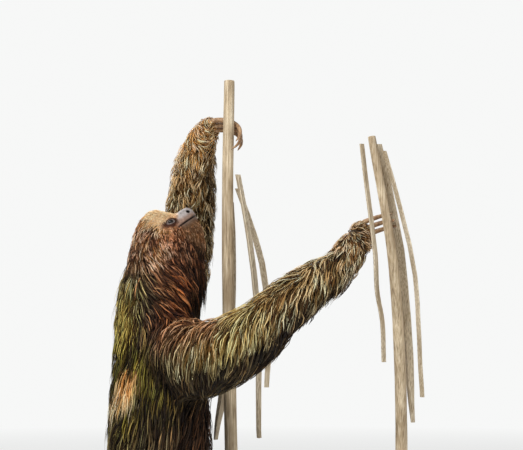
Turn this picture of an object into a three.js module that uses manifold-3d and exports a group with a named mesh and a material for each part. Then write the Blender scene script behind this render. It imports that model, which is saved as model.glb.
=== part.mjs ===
// A life-size brown-throated three-toed sloth, climbing two cut lengths of dead palm frond on an oval stand.
// Units are millimetres and +Z is up. The origin is the middle of the stand's underside.
// The animal faces +X, so its right side is towards -Y. Its solids reach out to the tips of the coat.
import * as THREE from "three";
import { mergeVertices } from "three/addons/utils/BufferGeometryUtils.js";
import Module from "manifold-3d";

const wasm = await Module();
wasm.setup();

// ---- Driving dimensions ----
const SEAM = 0.5; // air gap between neighbouring solids
const SLIVER = 0.12; // detail smaller than this is left out
const BASE = { length: 410, width: 270, thick: 22, bevel: 5 };
const ROD = { radius: 5, sunk: 12, into: 26, reveal: 26 };
const STEM_RADIUS = 10;
const STEM_FOOT_Z = BASE.thick + ROD.reveal;
const STEM_TIP_RADIUS_SHARE = { climb: 0.78, reach: 0.56 };
const HEAD_PITCH = 52; // degrees that the snout points above the horizon
const HEAD_YAW = 6; // degrees that the snout turns towards the right side
const EYE_RADIUS = 6.2;
const CLAW = { steps: 7, sides: 6 };
const HAND_CLAW = { width: 3.2, depth: 4.0, spacing: 8.0 };
const FOOT_CLAW = { width: 2.8, depth: 3.7, spacing: 7.2 };

const COLOURS = {
  coat: 0x6a5c3a,
  throat: 0x5e3d25,
  face: 0xc9a77c,
  nose: 0x4a4240,
  eye: 0x120c08,
  claw: 0xb08a5a,
  stem: 0x8f7a58,
  leaflet: 0xb7a27c,
  wood: 0x3b2a1d,
  steel: 0x8c8c8c,
};

const vec = (x, y, z) => new THREE.Vector3(x, y, z);
const radians = THREE.MathUtils.degToRad;

// ---- Solids ----
// A closed geometry as a manifold-3d solid whose faces point outwards.
function solidOf(geometry) {
  const bare = new THREE.BufferGeometry();
  bare.setAttribute("position", geometry.getAttribute("position"));
  if (geometry.index) bare.setIndex(geometry.index);
  const merged = mergeVertices(bare, 1e-3);
  const vertProperties = new Float32Array(merged.attributes.position.array);
  const build = (triVerts) => new wasm.Manifold(new wasm.Mesh({ numProp: 3, vertProperties, triVerts }));
  const triVerts = new Uint32Array(merged.index.array);
  const made = build(triVerts);
  return made.volume() >= 0 ? made : build(triVerts.slice().reverse());
}

function geometryOf(solid) {
  const { vertProperties, numProp, triVerts, numVert } = solid.getMesh();
  const position = new Float32Array(numVert * 3);
  for (let i = 0; i < numVert; i++) {
    position.set(vertProperties.subarray(i * numProp, i * numProp + 3), i * 3);
  }
  const geometry = new THREE.BufferGeometry();
  geometry.setAttribute("position", new THREE.BufferAttribute(position, 3));
  geometry.setIndex(new THREE.BufferAttribute(new Uint32Array(triVerts), 1));
  return geometry;
}

const largestPiece = (solid) => solid.decompose().sort((a, b) => b.volume() - a.volume())[0];

// A skin over rings that all have the same number of points, closed by a fan to a pole at each end.
function skinOver(rings, firstPole, lastPole) {
  const sides = rings[0].length;
  const points = [firstPole, ...rings.flat(), lastPole];
  const index = [];
  const at = (ring, side) => 1 + ring * sides + (side % sides);
  const lastRing = rings.length - 1;
  for (let side = 0; side < sides; side++) {
    index.push(0, at(0, side + 1), at(0, side));
    for (let ring = 0; ring < lastRing; ring++) {
      const [a, b] = [at(ring, side), at(ring, side + 1)];
      const [c, d] = [at(ring + 1, side + 1), at(ring + 1, side)];
      index.push(a, b, c, a, c, d);
    }
    index.push(at(lastRing, side), at(lastRing, side + 1), points.length - 1);
  }
  const geometry = new THREE.BufferGeometry().setFromPoints(points);
  geometry.setIndex(index);
  return solidOf(geometry);
}

// The two axes of a cross-section: side is kept as near as the spine's direction allows.
function sectionAxes(direction, side) {
  const across = side.clone().addScaledVector(direction, -side.dot(direction)).normalize();
  return [across, new THREE.Vector3().crossVectors(direction, across)];
}

// A rounded body along a spine. girth holds one [half-width along side, half-depth] for each spine point.
function sweep({ spine, girth, side = vec(0, 1, 0), sides = 12, rings = 8, cap = 0.8 }, grow = 0) {
  const path = new THREE.CatmullRomCurve3(spine);
  const sizes = new THREE.CatmullRomCurve3(girth.map(([a, b]) => vec(a, b, 0)));
  const capSteps = [60, 30].map(radians);
  const ring = (t, offset, scale) => {
    const direction = path.getTangent(t);
    const [across, deep] = sectionAxes(direction, side);
    const size = sizes.getPoint(t);
    const centre = path.getPoint(t).addScaledVector(direction, offset);
    return Array.from({ length: sides }, (_, i) => {
      const turn = (i / sides) * 2 * Math.PI;
      return centre
        .clone()
        .addScaledVector(across, Math.cos(turn) * (size.x + grow) * scale)
        .addScaledVector(deep, Math.sin(turn) * (size.y + grow) * scale);
    });
  };
  const capLength = (t) => Math.min(sizes.getPoint(t).x, sizes.getPoint(t).y) * cap + grow;
  const [before, after] = [capLength(0), capLength(1)];
  const all = [
    ...capSteps.map((a) => ring(0, -before * Math.sin(a), Math.cos(a))),
    ...Array.from({ length: rings + 1 }, (_, i) => ring(i / rings, 0, 1)),
    ...capSteps.toReversed().map((a) => ring(1, after * Math.sin(a), Math.cos(a))),
  ];
  const firstPole = path.getPoint(0).addScaledVector(path.getTangent(0), -before);
  const lastPole = path.getPoint(1).addScaledVector(path.getTangent(1), after);
  return skinOver(all, firstPole, lastPole);
}

// The two halves of a solid on either side of a plane, with a seam between them.
function halves(solid, point, direction) {
  const [n, offset] = [direction.clone().normalize(), point.dot(direction.clone().normalize())];
  const before = solid.trimByPlane([-n.x, -n.y, -n.z], SEAM / 2 - offset);
  return [before, solid.trimByPlane([n.x, n.y, n.z], SEAM / 2 + offset)];
}

// ---- Trunk, neck and tail ----
// One body from the rump to inside the head. Its planes part the trunk from the neck and the neck from the head.
const TORSO = {
  spine: [
    vec(-106, 0, 100), vec(-110, 0, 134), vec(-115, 0, 184), vec(-116.5, 0, 244), vec(-116.8, 0, 306),
    vec(-116.6, 0, 352), vec(-117.2, 0, 394), vec(-115, 0, 430), vec(-110.5, 0, 468), vec(-107, 0, 504),
  ],
  girth: [
    [48, 38], [68, 54], [80, 64], [82, 65], [80, 63.8], [78, 59.6], [68, 57.8], [58, 55], [52, 53.5], [41, 43],
  ],
  sides: 20,
  rings: 19,
};
const SHOULDER_PLANE = [vec(-116, 0, 400), vec(0, 0, 1)];
const NAPE_PLANE = [vec(-108, 0, 476), vec(0.12, 0, 1)];
const TAIL = {
  spine: [vec(-134, 0, 120), vec(-156, 0, 101), vec(-168, 0, 80)],
  girth: [[20, 18], [17, 14], [12, 10]],
  sides: 10,
  rings: 4,
};

// ---- Head ----
// Local axes of the head: x along the snout, y to the left, z to the crown, from midway between the eyes.
const HEAD_PLACE = new THREE.Matrix4()
  .makeTranslation(-102, 0, 529)
  .multiply(new THREE.Matrix4().makeRotationZ(-radians(HEAD_YAW)))
  .multiply(new THREE.Matrix4().makeRotationY(-radians(HEAD_PITCH)));
const inHead = (x, y, z) => vec(x, y, z).applyMatrix4(HEAD_PLACE);

// Profile of the head, front to back: [along the snout, top, bottom, half-width].
const HEAD_PROFILE = [
  [26.4, -3.9, -14.6, 6.8],
  [24.5, -2.2, -18.6, 9.8],
  [22.0, -0.6, -23.6, 12.4],
  [18.6, 0.8, -31.0, 14.6],
  [14.6, 2.0, -37.8, 16.9],
  [10.8, 4.6, -42.6, 19.3],
  [7.6, 8.6, -46.4, 22.1],
  [4.4, 16.2, -49.8, 25.8],
  [0.4, 25.0, -52.8, 30.0],
  [-4.6, 30.7, -56.0, 34.0],
  [-12.0, 33.6, -59.4, 38.2],
  [-24.0, 34.2, -61.4, 41.8],
  [-39.0, 30.6, -57.2, 41.4],
  [-50.0, 25.6, -45.2, 34.8],
  [-58.0, 17.0, -32.0, 22.0],
];
const HEAD_SIDES = 22;
const MUZZLE_TIP = 27.5;
const NAPE = -62;
const MOUTH = { front: vec(40, 0, -21.6), corner: vec(1.0, 0, -13.4), hinge: vec(-13, 0, -62) };
const NOSE = { back: 19.2, bottom: -14.5 };
const NOSTRIL = { at: vec(24.0, 10.0, -8.1), aim: vec(0.62, 0.78, 0.05).normalize(), radius: 2.2, depth: 5 };
const EYE = { at: vec(-0.9, 21.4, -1.0), gaze: vec(0.44, 0.9, 0.02).normalize() };
const LID_OPENING = { radius: 5.2, length: 22 };

function headSolid(grow = 0) {
  const rings = HEAD_PROFILE.map(([x, top, bottom, half]) =>
    Array.from({ length: HEAD_SIDES }, (_, i) => {
      const turn = (i / HEAD_SIDES) * 2 * Math.PI;
      const z = (top + bottom) / 2 + Math.sin(turn) * ((top - bottom) / 2 + grow);
      return inHead(x, Math.cos(turn) * (half + grow), z);
    }),
  );
  const middle = ([, top, bottom]) => (top + bottom) / 2;
  const frontPole = inHead(MUZZLE_TIP + grow, 0, middle(HEAD_PROFILE[0]));
  return skinOver(rings, frontPole, inHead(NAPE - grow, 0, middle(HEAD_PROFILE.at(-1))));
}

// A slab of the head cut out by an outline in its side view.
function headSlab(outline, halfWidth = 60) {
  const shape = new THREE.Shape(outline.map(([x, z]) => new THREE.Vector2(x, z)));
  const geometry = new THREE.ExtrudeGeometry(shape, { depth: 2 * halfWidth, bevelEnabled: false });
  geometry.rotateX(Math.PI / 2).translate(0, halfWidth, 0).applyMatrix4(HEAD_PLACE);
  return solidOf(geometry);
}

// The lower jaw lies under the mouth line, and grow widens it by the seam.
function jawCutter(grow = 0) {
  const { front, corner, hinge } = MOUTH;
  return headSlab([
    [front.x, front.z + grow],
    [corner.x - grow, corner.z + grow],
    [hinge.x - grow, hinge.z],
    [front.x, hinge.z],
  ]);
}

function noseCutter(grow = 0) {
  const [back, bottom] = [NOSE.back - grow, NOSE.bottom - grow];
  return headSlab([[back, bottom], [MOUTH.front.x, bottom], [MOUTH.front.x, 20], [back, 20]]);
}

// A round plug whose axis starts at a point of the head and runs along a direction.
function headPlug(at, direction, radius, length) {
  const geometry = new THREE.CylinderGeometry(radius, radius, length, 12);
  const turn = new THREE.Quaternion().setFromUnitVectors(vec(0, 1, 0), direction);
  geometry.translate(0, length / 2, 0).applyQuaternion(turn).translate(at.x, at.y, at.z);
  return solidOf(geometry.applyMatrix4(HEAD_PLACE));
}

function eyeSolid(side, grow = 0) {
  const geometry = new THREE.SphereGeometry(EYE_RADIUS + grow, 12, 8);
  const { x, y, z } = EYE.at;
  return solidOf(geometry.translate(x, y * side, z).applyMatrix4(HEAD_PLACE));
}

function lidOpening(side) {
  const at = vec(EYE.at.x, EYE.at.y * side, EYE.at.z);
  const gaze = vec(EYE.gaze.x, EYE.gaze.y * side, EYE.gaze.z);
  return headPlug(at, gaze, LID_OPENING.radius, LID_OPENING.length);
}

function nostril(side) {
  const { at, aim, radius, depth } = NOSTRIL;
  const bottom = at.clone().addScaledVector(aim, -depth);
  return headPlug(bottom.setY(bottom.y * side), vec(aim.x, aim.y * side, aim.z), radius, 3 * depth);
}

// ---- Claws ----
// Three parallel hooks, each an arc round centre in the plane of out and over, stacked along their normal.
// The arc starts at angle from and ends at angle to, both in degrees from out towards over.
function hook({ centre, out, over, bend, from, to, size, lengths }, finger, grow = 0) {
  const x = out.clone().normalize();
  const y = over.clone().addScaledVector(x, -over.dot(x)).normalize();
  const stack = new THREE.Vector3().crossVectors(x, y);
  const middle = centre.clone().addScaledVector(stack, (finger - 1) * size.spacing);
  const end = THREE.MathUtils.lerp(from, to, lengths[finger]);
  const ring = (share) => {
    const angle = radians(THREE.MathUtils.lerp(from, end, share));
    const outward = x.clone().multiplyScalar(Math.cos(angle)).addScaledVector(y, Math.sin(angle));
    const point = middle.clone().addScaledVector(outward, bend);
    const taper = Math.pow(1 - share, 0.45) * 0.94 + 0.06;
    return Array.from({ length: CLAW.sides }, (_, i) => {
      const turn = (i / CLAW.sides) * 2 * Math.PI;
      return point
        .clone()
        .addScaledVector(stack, Math.cos(turn) * (size.width * taper + grow))
        .addScaledVector(outward, Math.sin(turn) * (size.depth * taper + grow));
    });
  };
  const rings = Array.from({ length: CLAW.steps + 1 }, (_, i) => ring(i / CLAW.steps));
  const mean = (points) => points.reduce((sum, p) => sum.add(p), vec(0, 0, 0)).divideScalar(points.length);
  return skinOver(rings, mean(rings[0]), mean(rings.at(-1)));
}

// ---- Perch: two cut lengths of dead palm frond ----
const STEMS = {
  climb: [vec(-24, 6, STEM_FOOT_Z), vec(-28, 3, 220), vec(-32, 4, 420), vec(-33, 6, 560), vec(-31, 8, 706)],
  reach: [
    vec(176, -46, STEM_FOOT_Z), vec(181, -56, 190), vec(179, -76, 340),
    vec(170, -101, 470), vec(162.5, -108, 522), vec(142, -116, 632),
  ],
};

function stemSolid(stem, grow = 0) {
  const points = STEMS[stem];
  const tipShare = STEM_TIP_RADIUS_SHARE[stem];
  const radius = (i) => STEM_RADIUS * THREE.MathUtils.lerp(1, tipShare, i / (points.length - 1));
  const girth = points.map((_, i) => [radius(i), radius(i) * 0.9]);
  return sweep({ spine: points, girth, sides: 10, rings: 10, cap: 0.25 }, grow);
}

// Folded leaflets hang beside a stem. Each is a long strip with a V section.
// `follow` is how much of the stem's own lean a leaflet keeps as it hangs.
const LEAFLET = { half: 7.5, fold: 4.2, thick: 1.3, steps: 8 };
const LEAFLETS = [
  { stem: "climb", top: 0.8, angle: -20, length: 330, lean: 26, side: 12, follow: 0 },
  { stem: "climb", top: 0.77, angle: 24, length: 250, lean: 40, side: -6, follow: 0 },
  { stem: "climb", top: 0.74, angle: 78, length: 300, lean: 16, side: 20, follow: 0 },
  { stem: "reach", top: 0.985, angle: 180, length: 265, lean: 8, side: 0, follow: 1 },
  { stem: "reach", top: 0.97, angle: -4, length: 300, lean: 12, side: 6, follow: 1 },
  { stem: "reach", top: 0.985, angle: 58, length: 340, lean: 20, side: -8, follow: 0.7 },
];

function leafletSolid({ stem, top, angle, length, lean, side, follow }) {
  const curve = new THREE.CatmullRomCurve3(STEMS[stem]);
  const root = curve.getPoint(top);
  const stemPoints = curve.getPoints(120);
  const turn = radians(angle);
  const outward = vec(Math.cos(turn), Math.sin(turn), 0);
  const across = vec(-Math.sin(turn), Math.cos(turn), 0);
  const clear = STEM_RADIUS * 0.8 + LEAFLET.thick + SEAM;
  const ring = (share) => {
    const drop = length * share;
    const swing = lean * Math.sin(Math.min(1, share * 1.6) * Math.PI * 0.5);
    const beside = stemPoints.find((point) => point.z >= root.z - drop);
    const centre = root
      .clone()
      .addScaledVector(vec(beside.x - root.x, beside.y - root.y, 0), follow)
      .addScaledVector(outward, clear + swing)
      .addScaledVector(across, side * share * share)
      .add(vec(0, 0, -drop));
    const width = LEAFLET.half * Math.sqrt(Math.sin(Math.PI * (0.12 + 0.84 * share)));
    const outline = [
      [-width, LEAFLET.fold], [0, 0], [width, LEAFLET.fold],
      [width, LEAFLET.fold + LEAFLET.thick], [0, LEAFLET.thick], [-width, LEAFLET.fold + LEAFLET.thick],
    ];
    return outline.map(([a, b]) => centre.clone().addScaledVector(across, a).addScaledVector(outward, b));
  };
  const rings = Array.from({ length: LEAFLET.steps + 1 }, (_, i) => ring(i / LEAFLET.steps));
  const foldPoint = (points) => points[1].clone().lerp(points[4], 0.5);
  return skinOver(rings, foldPoint(rings[0]), foldPoint(rings.at(-1)));
}

// ---- Stand ----
function baseSolid() {
  const { length, width, thick, bevel } = BASE;
  const oval = new THREE.Shape().absellipse(0, 0, length / 2 - bevel, width / 2 - bevel, 0, 2 * Math.PI);
  const geometry = new THREE.ExtrudeGeometry(oval, {
    depth: thick - bevel,
    curveSegments: 24,
    bevelThickness: bevel,
    bevelSize: bevel,
    bevelSegments: 2,
  });
  // The extrusion is rounded at both ends, so its lower rounding is cut off level.
  const floor = new THREE.BoxGeometry(2 * length, 2 * width, 2 * bevel);
  return solidOf(geometry).subtract(solidOf(floor.translate(0, 0, -bevel)));
}

function rodSolid(stem, grow = 0) {
  const foot = STEMS[stem][0];
  const [low, high] = [BASE.thick - ROD.sunk - grow, STEM_FOOT_Z + ROD.into + grow];
  const geometry = new THREE.CylinderGeometry(ROD.radius + grow, ROD.radius + grow, high - low, 12);
  return solidOf(geometry.rotateX(Math.PI / 2).translate(foot.x, foot.y, (low + high) / 2));
}

// ---- Limbs ----
// A limb is one or two swept bodies from the trunk outwards. Each body is cut into its parts by planes at
// the given shares of its spine, and a hook holds the limb's three claws.
const LIMBS = {
  arm_right: {
    bodies: [{
      spine: [
        vec(-106, -34, 372), vec(-70, -76, 364), vec(-38, -106, 373), vec(4, -127, 398), vec(44, -125, 431),
        vec(78, -110, 457), vec(106, -96, 478), vec(121, -88, 500), vec(132, -82, 517),
      ],
      girth: [[48, 46], [48, 46], [43, 44], [37, 38], [34.5, 35], [29.5, 30], [24, 25], [21, 21], [15, 14]],
      side: vec(0, 0, 1),
      sides: 14,
      rings: 18,
      names: ["upper_arm_right", "forearm_right", "hand_right"],
      cuts: [0.44, 0.78],
    }],
    claws: {
      centre: vec(144, -108.5, 522), out: vec(0, 1, 0.1), over: vec(0.938, 0, 0.347), bend: 27, from: -22, to: 104,
      size: HAND_CLAW, lengths: [0.88, 1, 0.9],
    },
  },
  arm_left: {
    bodies: [{
      spine: [
        vec(-110, 34, 374), vec(-112, 74, 404), vec(-95, 102, 458), vec(-85, 108, 520), vec(-80, 96, 570),
        vec(-75, 74, 608), vec(-66, 54, 635), vec(-57, 36, 652),
      ],
      girth: [[46, 46], [40, 43], [37, 38], [34, 33], [31, 30], [26, 26], [21, 20], [14, 13]],
      side: vec(1, 0, 0),
      sides: 14,
      rings: 18,
      names: ["upper_arm_left", "forearm_left", "hand_left"],
      cuts: [0.46, 0.82],
    }],
    claws: {
      centre: vec(-44, 8, 634), out: vec(-0.1, 0.76, 0.64), over: vec(1, 0, 0.1), bend: 28, from: -14, to: 150,
      size: HAND_CLAW, lengths: [0.9, 1, 0.88],
    },
  },
  leg_right: {
    bodies: [
      {
        spine: [vec(-106, -34, 150), vec(-76, -70, 160), vec(-42, -96, 180), vec(-20, -108, 190)],
        girth: [[50, 48], [46, 44], [37, 37], [28, 28]],
        side: vec(0, 0, 1),
        names: ["thigh_right"],
      },
      {
        spine: [vec(-20, -112, 186), vec(-24, -98, 158), vec(-40, -72, 124), vec(-52, -50, 98), vec(-47, -30, 86)],
        girth: [[27, 27], [28, 28], [24, 23], [19, 19], [13, 13]],
        side: vec(1, 0, 0),
        rings: 11,
        names: ["shin_right", "foot_right"],
        cuts: [0.62],
      },
    ],
    claws: {
      centre: vec(-39, 3, 86), out: vec(0, -1, 0), over: vec(1, 0, 0), bend: 27, from: -18, to: 124,
      size: FOOT_CLAW, lengths: [0.9, 1, 0.88],
    },
  },
  leg_left: {
    bodies: [
      {
        spine: [vec(-106, 34, 152), vec(-78, 68, 172), vec(-46, 94, 204), vec(-25, 106, 217)],
        girth: [[50, 48], [46, 44], [37, 37], [28, 28]],
        side: vec(0, 0, 1),
        names: ["thigh_left"],
      },
      {
        spine: [vec(-24, 110, 214), vec(-28, 98, 188), vec(-44, 74, 156), vec(-56, 52, 134), vec(-50, 34, 124)],
        girth: [[27, 27], [28, 28], [24, 23], [19, 19], [13, 13]],
        side: vec(1, 0, 0),
        rings: 11,
        names: ["shin_left", "foot_left"],
        cuts: [0.62],
      },
    ],
    claws: {
      centre: vec(-40, 5, 124), out: vec(0, 1, 0), over: vec(1, 0, 0), bend: 27, from: -18, to: 124,
      size: FOOT_CLAW, lengths: [0.88, 1, 0.9],
    },
  },
};

// Parts one swept body into its named pieces, working outwards from the trunk.
function partsOf(solid, { spine, names, cuts = [] }) {
  const path = new THREE.CatmullRomCurve3(spine);
  let rest = solid;
  const pieces = cuts.map((share) => {
    const [inner, outer] = halves(rest, path.getPoint(share), path.getTangent(share));
    rest = outer;
    return inner;
  });
  return [...pieces, rest].map((piece, i) => [names[i], largestPiece(piece)]);
}

// ---- Assembly ----
const sloth = new THREE.Group();

function addNode(name, solid, colour, roughness = 0.85, metalness = 0) {
  const material = new THREE.MeshStandardMaterial({ color: colour, roughness, metalness });
  const mesh = new THREE.Mesh(geometryOf(solid.asOriginal().simplify(SLIVER)), material);
  mesh.name = name;
  sloth.add(mesh);
}

// Each body is trimmed by the grown shapes of those before it, which leaves a seam and no overlap.
const taken = [];
function trimmed(make) {
  const solid = taken.reduce((rest, neighbour) => rest.subtract(neighbour), make(0));
  taken.push(make(SEAM));
  return largestPiece(solid);
}

for (const stem of Object.keys(STEMS)) {
  addNode(`stand_rod_${stem}`, rodSolid(stem), COLOURS.steel, 0.35, 1);
  const stemWithSocket = stemSolid(stem).subtract(rodSolid(stem, SEAM));
  addNode(`perch_stem_${stem}`, stemWithSocket, COLOURS.stem);
  taken.push(stemSolid(stem, SEAM));
}
const sockets = Object.keys(STEMS).map((stem) => rodSolid(stem, SEAM));
addNode("stand_base", sockets.reduce((rest, socket) => rest.subtract(socket), baseSolid()), COLOURS.wood, 0.4);

for (const [key, { claws }] of Object.entries(LIMBS)) {
  for (const finger of [0, 1, 2]) {
    addNode(`claw_${key}_${finger + 1}`, hook(claws, finger), COLOURS.claw, 0.45);
    taken.push(hook(claws, finger, SEAM));
  }
}

LEAFLETS.forEach((leaflet, i) => {
  addNode(`perch_leaflet_${i + 1}`, leafletSolid(leaflet), COLOURS.leaflet);
});

for (const [name, side] of [["right", -1], ["left", 1]]) {
  addNode(`eye_${name}`, eyeSolid(side), COLOURS.eye, 0.1);
  taken.push(eyeSolid(side, SEAM), lidOpening(side), nostril(side));
}

const body = trimmed((grow) => sweep(TORSO, grow).add(headSolid(grow)));
const [trunk, upper] = halves(body, ...SHOULDER_PLANE);
const [neck, wholeHead] = halves(upper, ...NAPE_PLANE);
addNode("trunk", largestPiece(trunk), COLOURS.coat);
addNode("neck", largestPiece(neck), COLOURS.coat);
addNode("jaw", largestPiece(wholeHead.intersect(jawCutter())), COLOURS.throat);
addNode("nose", largestPiece(wholeHead.intersect(noseCutter())), COLOURS.nose, 0.5);
addNode("head", largestPiece(wholeHead.subtract(jawCutter(SEAM)).subtract(noseCutter(SEAM))), COLOURS.face);

for (const { bodies } of Object.values(LIMBS)) {
  for (const limb of bodies) {
    const solid = trimmed((grow) => sweep(limb, grow));
    for (const [name, piece] of partsOf(solid, limb)) addNode(name, piece, COLOURS.coat);
  }
}
addNode("tail", trimmed((grow) => sweep(TAIL, grow)), COLOURS.coat);

export default sloth;
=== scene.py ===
# %% [markdown]
# # A three-toed sloth reaching through dry palm fronds
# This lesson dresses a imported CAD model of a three-toed sloth as a museum would show it. The CAD
# solids give the outline out to the tips of the coat. Here they become one smooth skin, the skin
# gets a face, and about sixty-eight thousand solid tufts of hair grow from it, so that the coat
# reaches the outline again. Everything is in metres, in the same frame as the CAD.

# %% Load the frame
import math

import bmesh
import bpy
import numpy as np
from mathutils import Matrix, Vector
from mathutils.bvhtree import BVHTree
from mathutils.kdtree import KDTree


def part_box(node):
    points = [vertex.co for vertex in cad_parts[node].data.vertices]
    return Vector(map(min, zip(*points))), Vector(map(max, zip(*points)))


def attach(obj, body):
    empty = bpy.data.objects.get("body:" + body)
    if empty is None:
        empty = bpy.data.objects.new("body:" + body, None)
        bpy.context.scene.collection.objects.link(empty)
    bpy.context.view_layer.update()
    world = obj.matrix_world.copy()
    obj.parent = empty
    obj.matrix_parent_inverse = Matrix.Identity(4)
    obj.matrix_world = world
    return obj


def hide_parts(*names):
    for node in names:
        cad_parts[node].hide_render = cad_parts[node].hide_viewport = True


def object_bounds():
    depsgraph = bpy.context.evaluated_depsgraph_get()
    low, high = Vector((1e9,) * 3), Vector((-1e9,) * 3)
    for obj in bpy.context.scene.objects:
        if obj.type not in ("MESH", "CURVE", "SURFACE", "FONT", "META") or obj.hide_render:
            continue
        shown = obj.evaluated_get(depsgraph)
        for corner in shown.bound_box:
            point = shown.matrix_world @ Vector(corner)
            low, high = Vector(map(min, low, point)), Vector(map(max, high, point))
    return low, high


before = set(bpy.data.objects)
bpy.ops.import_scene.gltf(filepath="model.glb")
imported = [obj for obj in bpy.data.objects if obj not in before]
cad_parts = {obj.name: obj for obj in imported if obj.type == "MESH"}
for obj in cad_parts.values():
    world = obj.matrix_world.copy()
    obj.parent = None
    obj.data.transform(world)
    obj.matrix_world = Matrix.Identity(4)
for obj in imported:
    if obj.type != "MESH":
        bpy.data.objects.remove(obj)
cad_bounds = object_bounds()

MM = 0.001
rng = np.random.default_rng(7)
print("CAD box, metres:", [tuple(round(v, 3) for v in corner) for corner in cad_bounds])

# %% [markdown]
# ## Small tools
# Most steps below work on many points at once, so they use numpy arrays with one row for each
# point. These helpers turn rows to unit length, ramp softly between two limits, and give a
# cloudy noise from a lattice of hashed numbers, which is the same on every run.

# %% Helpers for rows of numbers
def unit(rows):
    return rows / np.maximum(np.linalg.norm(rows, axis=-1, keepdims=True), 1e-9)


def lengths(rows):
    return np.linalg.norm(rows, axis=1)


def nearest(points, spots):
    """How far each point is from the nearest of some spots."""
    return np.min([lengths(points - spot) for spot in spots], axis=0)


def ramp(low, high, value):
    """0 below low, 1 above high, and smooth between; low may be the larger."""
    t = np.clip((value - low) / (high - low), 0, 1)
    return t * t * (3 - 2 * t)


def bump(centre, width, value):
    return np.exp(-(((value - centre) / width) ** 2))


def mix(a, b, share):
    return a * (1 - share) + b * share


def mix_rows(rows, *layers):
    """Mixes rows of three with each layer in turn, a colour or place and its share for each row."""
    for other, share in layers:
        rows = mix(rows, other, np.asarray(share)[:, None])
    return rows


def lattice_value(cell, seed):
    """A number from 0 to 1 for each whole-numbered cell."""
    h = cell[:, 0] * 374761393 + cell[:, 1] * 668265263 + cell[:, 2] * 2147483647 + seed * 1274126177
    h = (h ^ (h >> 13)) * 1274126177
    return ((h ^ (h >> 16)) & 0xFFFFFF) / 0xFFFFFF


def cloud(points, size, seed=0):
    """Smooth noise from 0 to 1 whose lumps are about `size` metres across."""
    scaled = points / size
    cell = np.floor(scaled).astype(np.int64)
    part = scaled - cell
    part = part * part * (3 - 2 * part)
    total = np.zeros(len(points))
    for corner in np.ndindex(2, 2, 2):
        corner = np.array(corner)
        weight = np.prod(np.where(corner == 1, part, 1 - part), axis=1)
        total += weight * lattice_value(cell + corner, seed)
    return total


def cloud_vector(points, size, seed=0):
    return np.stack([cloud(points, size, seed + k) * 2 - 1 for k in range(3)], axis=1)


def srgb(*rgb):
    """An everyday 0 to 255 colour as the linear numbers that shading works in."""
    c = np.array(rgb) / 255
    return np.where(c <= 0.04045, c / 12.92, ((c + 0.055) / 1.055) ** 2.4)


print("noise test:", cloud(np.array([[0.1, 0.2, 0.3]]), 0.01).round(3))


# %% Helpers for meshes
def read(items, name, columns, kind=np.float32):
    """One property of a mesh's points, edges or faces, as rows."""
    values = np.empty(len(items) * columns, kind)
    items.foreach_get(name, values)
    values = values.reshape(-1, columns)
    return values.astype(float) if kind is np.float32 else values


def write(items, name, rows, kind=np.float32):
    items.foreach_set(name, np.asarray(rows, kind).ravel())


def vertex_places(mesh):
    return read(mesh.vertices, "co", 3)


def vertex_normals(mesh):
    return read(mesh.vertex_normals, "vector", 3)


def edge_ends(mesh):
    return read(mesh.edges, "vertices", 2, np.int32)


def set_places(mesh, places):
    write(mesh.vertices, "co", places)
    mesh.update()


def spread(values, ends, rounds):
    """Averages a value over neighbouring vertices, again and again."""
    count = np.bincount(ends.ravel(), minlength=len(values)).astype(float)
    flat = values.reshape(len(values), -1)
    for _ in range(rounds):
        columns = []
        for column in flat.T:
            total = np.bincount(ends[:, 0], column[ends[:, 1]], len(column))
            total += np.bincount(ends[:, 1], column[ends[:, 0]], len(column))
            columns.append((total / count + column) / 2)
        flat = np.stack(columns, axis=1)
    return flat.reshape(values.shape)


def new_object(name, data):
    obj = bpy.data.objects.new(name, data)
    bpy.context.scene.collection.objects.link(obj)
    return obj


def new_mesh(name, places, faces):
    """A mesh object from rows of places and rows of equally many-sided faces."""
    mesh = bpy.data.meshes.new(name)
    mesh.vertices.add(len(places))
    write(mesh.vertices, "co", places)
    mesh.loops.add(faces.size)
    write(mesh.loops, "vertex_index", faces, np.int32)
    mesh.polygons.add(len(faces))
    write(mesh.polygons, "loop_start", np.arange(0, faces.size, faces.shape[1]), np.int32)
    mesh.update(calc_edges=True)
    mesh.validate()
    return new_object(name, mesh)


print("mesh helpers ready")


# %% Helpers for objects
def use_only(*objects):
    """Selects just these objects, and makes the last of them the active one."""
    bpy.ops.object.select_all(action="DESELECT")
    for obj in objects:
        obj.select_set(True)
        bpy.context.view_layer.objects.active = obj


def set_mode(mode):
    bpy.ops.object.mode_set(mode=mode)


def apply_modifier(obj, kind, **settings):
    use_only(obj)
    modifier = obj.modifiers.new(kind.lower(), kind)
    for name, value in settings.items():
        setattr(modifier, name, value)
    bpy.ops.object.modifier_apply(modifier=modifier.name)


def apply_place(obj, name):
    """Names an object and moves its place, turn and size into its mesh."""
    obj.name = obj.data.name = name
    bpy.ops.object.transform_apply(location=True, rotation=True, scale=True)


def smooth_faces(obj, angle=None):
    use_only(obj)
    if angle is None:
        bpy.ops.object.shade_smooth()
    else:
        bpy.ops.object.shade_smooth_by_angle(angle=math.radians(angle))


def middle(node):
    low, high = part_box(node)
    return (low + high) / 2


def from_nodes(name, nodes, grow=0.0):
    """One object from CAD nodes, their loose triangles merged and their points moved out by `grow`.
    Its places, its faces and each face's node number come with it."""
    places, faces, owners = [], [], []
    for number, node in enumerate(nodes):
        shape = bmesh.new()
        shape.from_mesh(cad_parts[node].data)
        bmesh.ops.remove_doubles(shape, verts=shape.verts, dist=0.01 * MM)
        shape.normal_update()
        start = len(places)
        places += [tuple(v.co + v.normal * grow) for v in shape.verts]
        faces += [[v.index + start for v in f.verts] for f in shape.faces]
        owners += [number] * len(shape.faces)
        shape.free()
    return new_mesh(name, np.array(places), np.array(faces)), np.array(places), faces, owners


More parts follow.
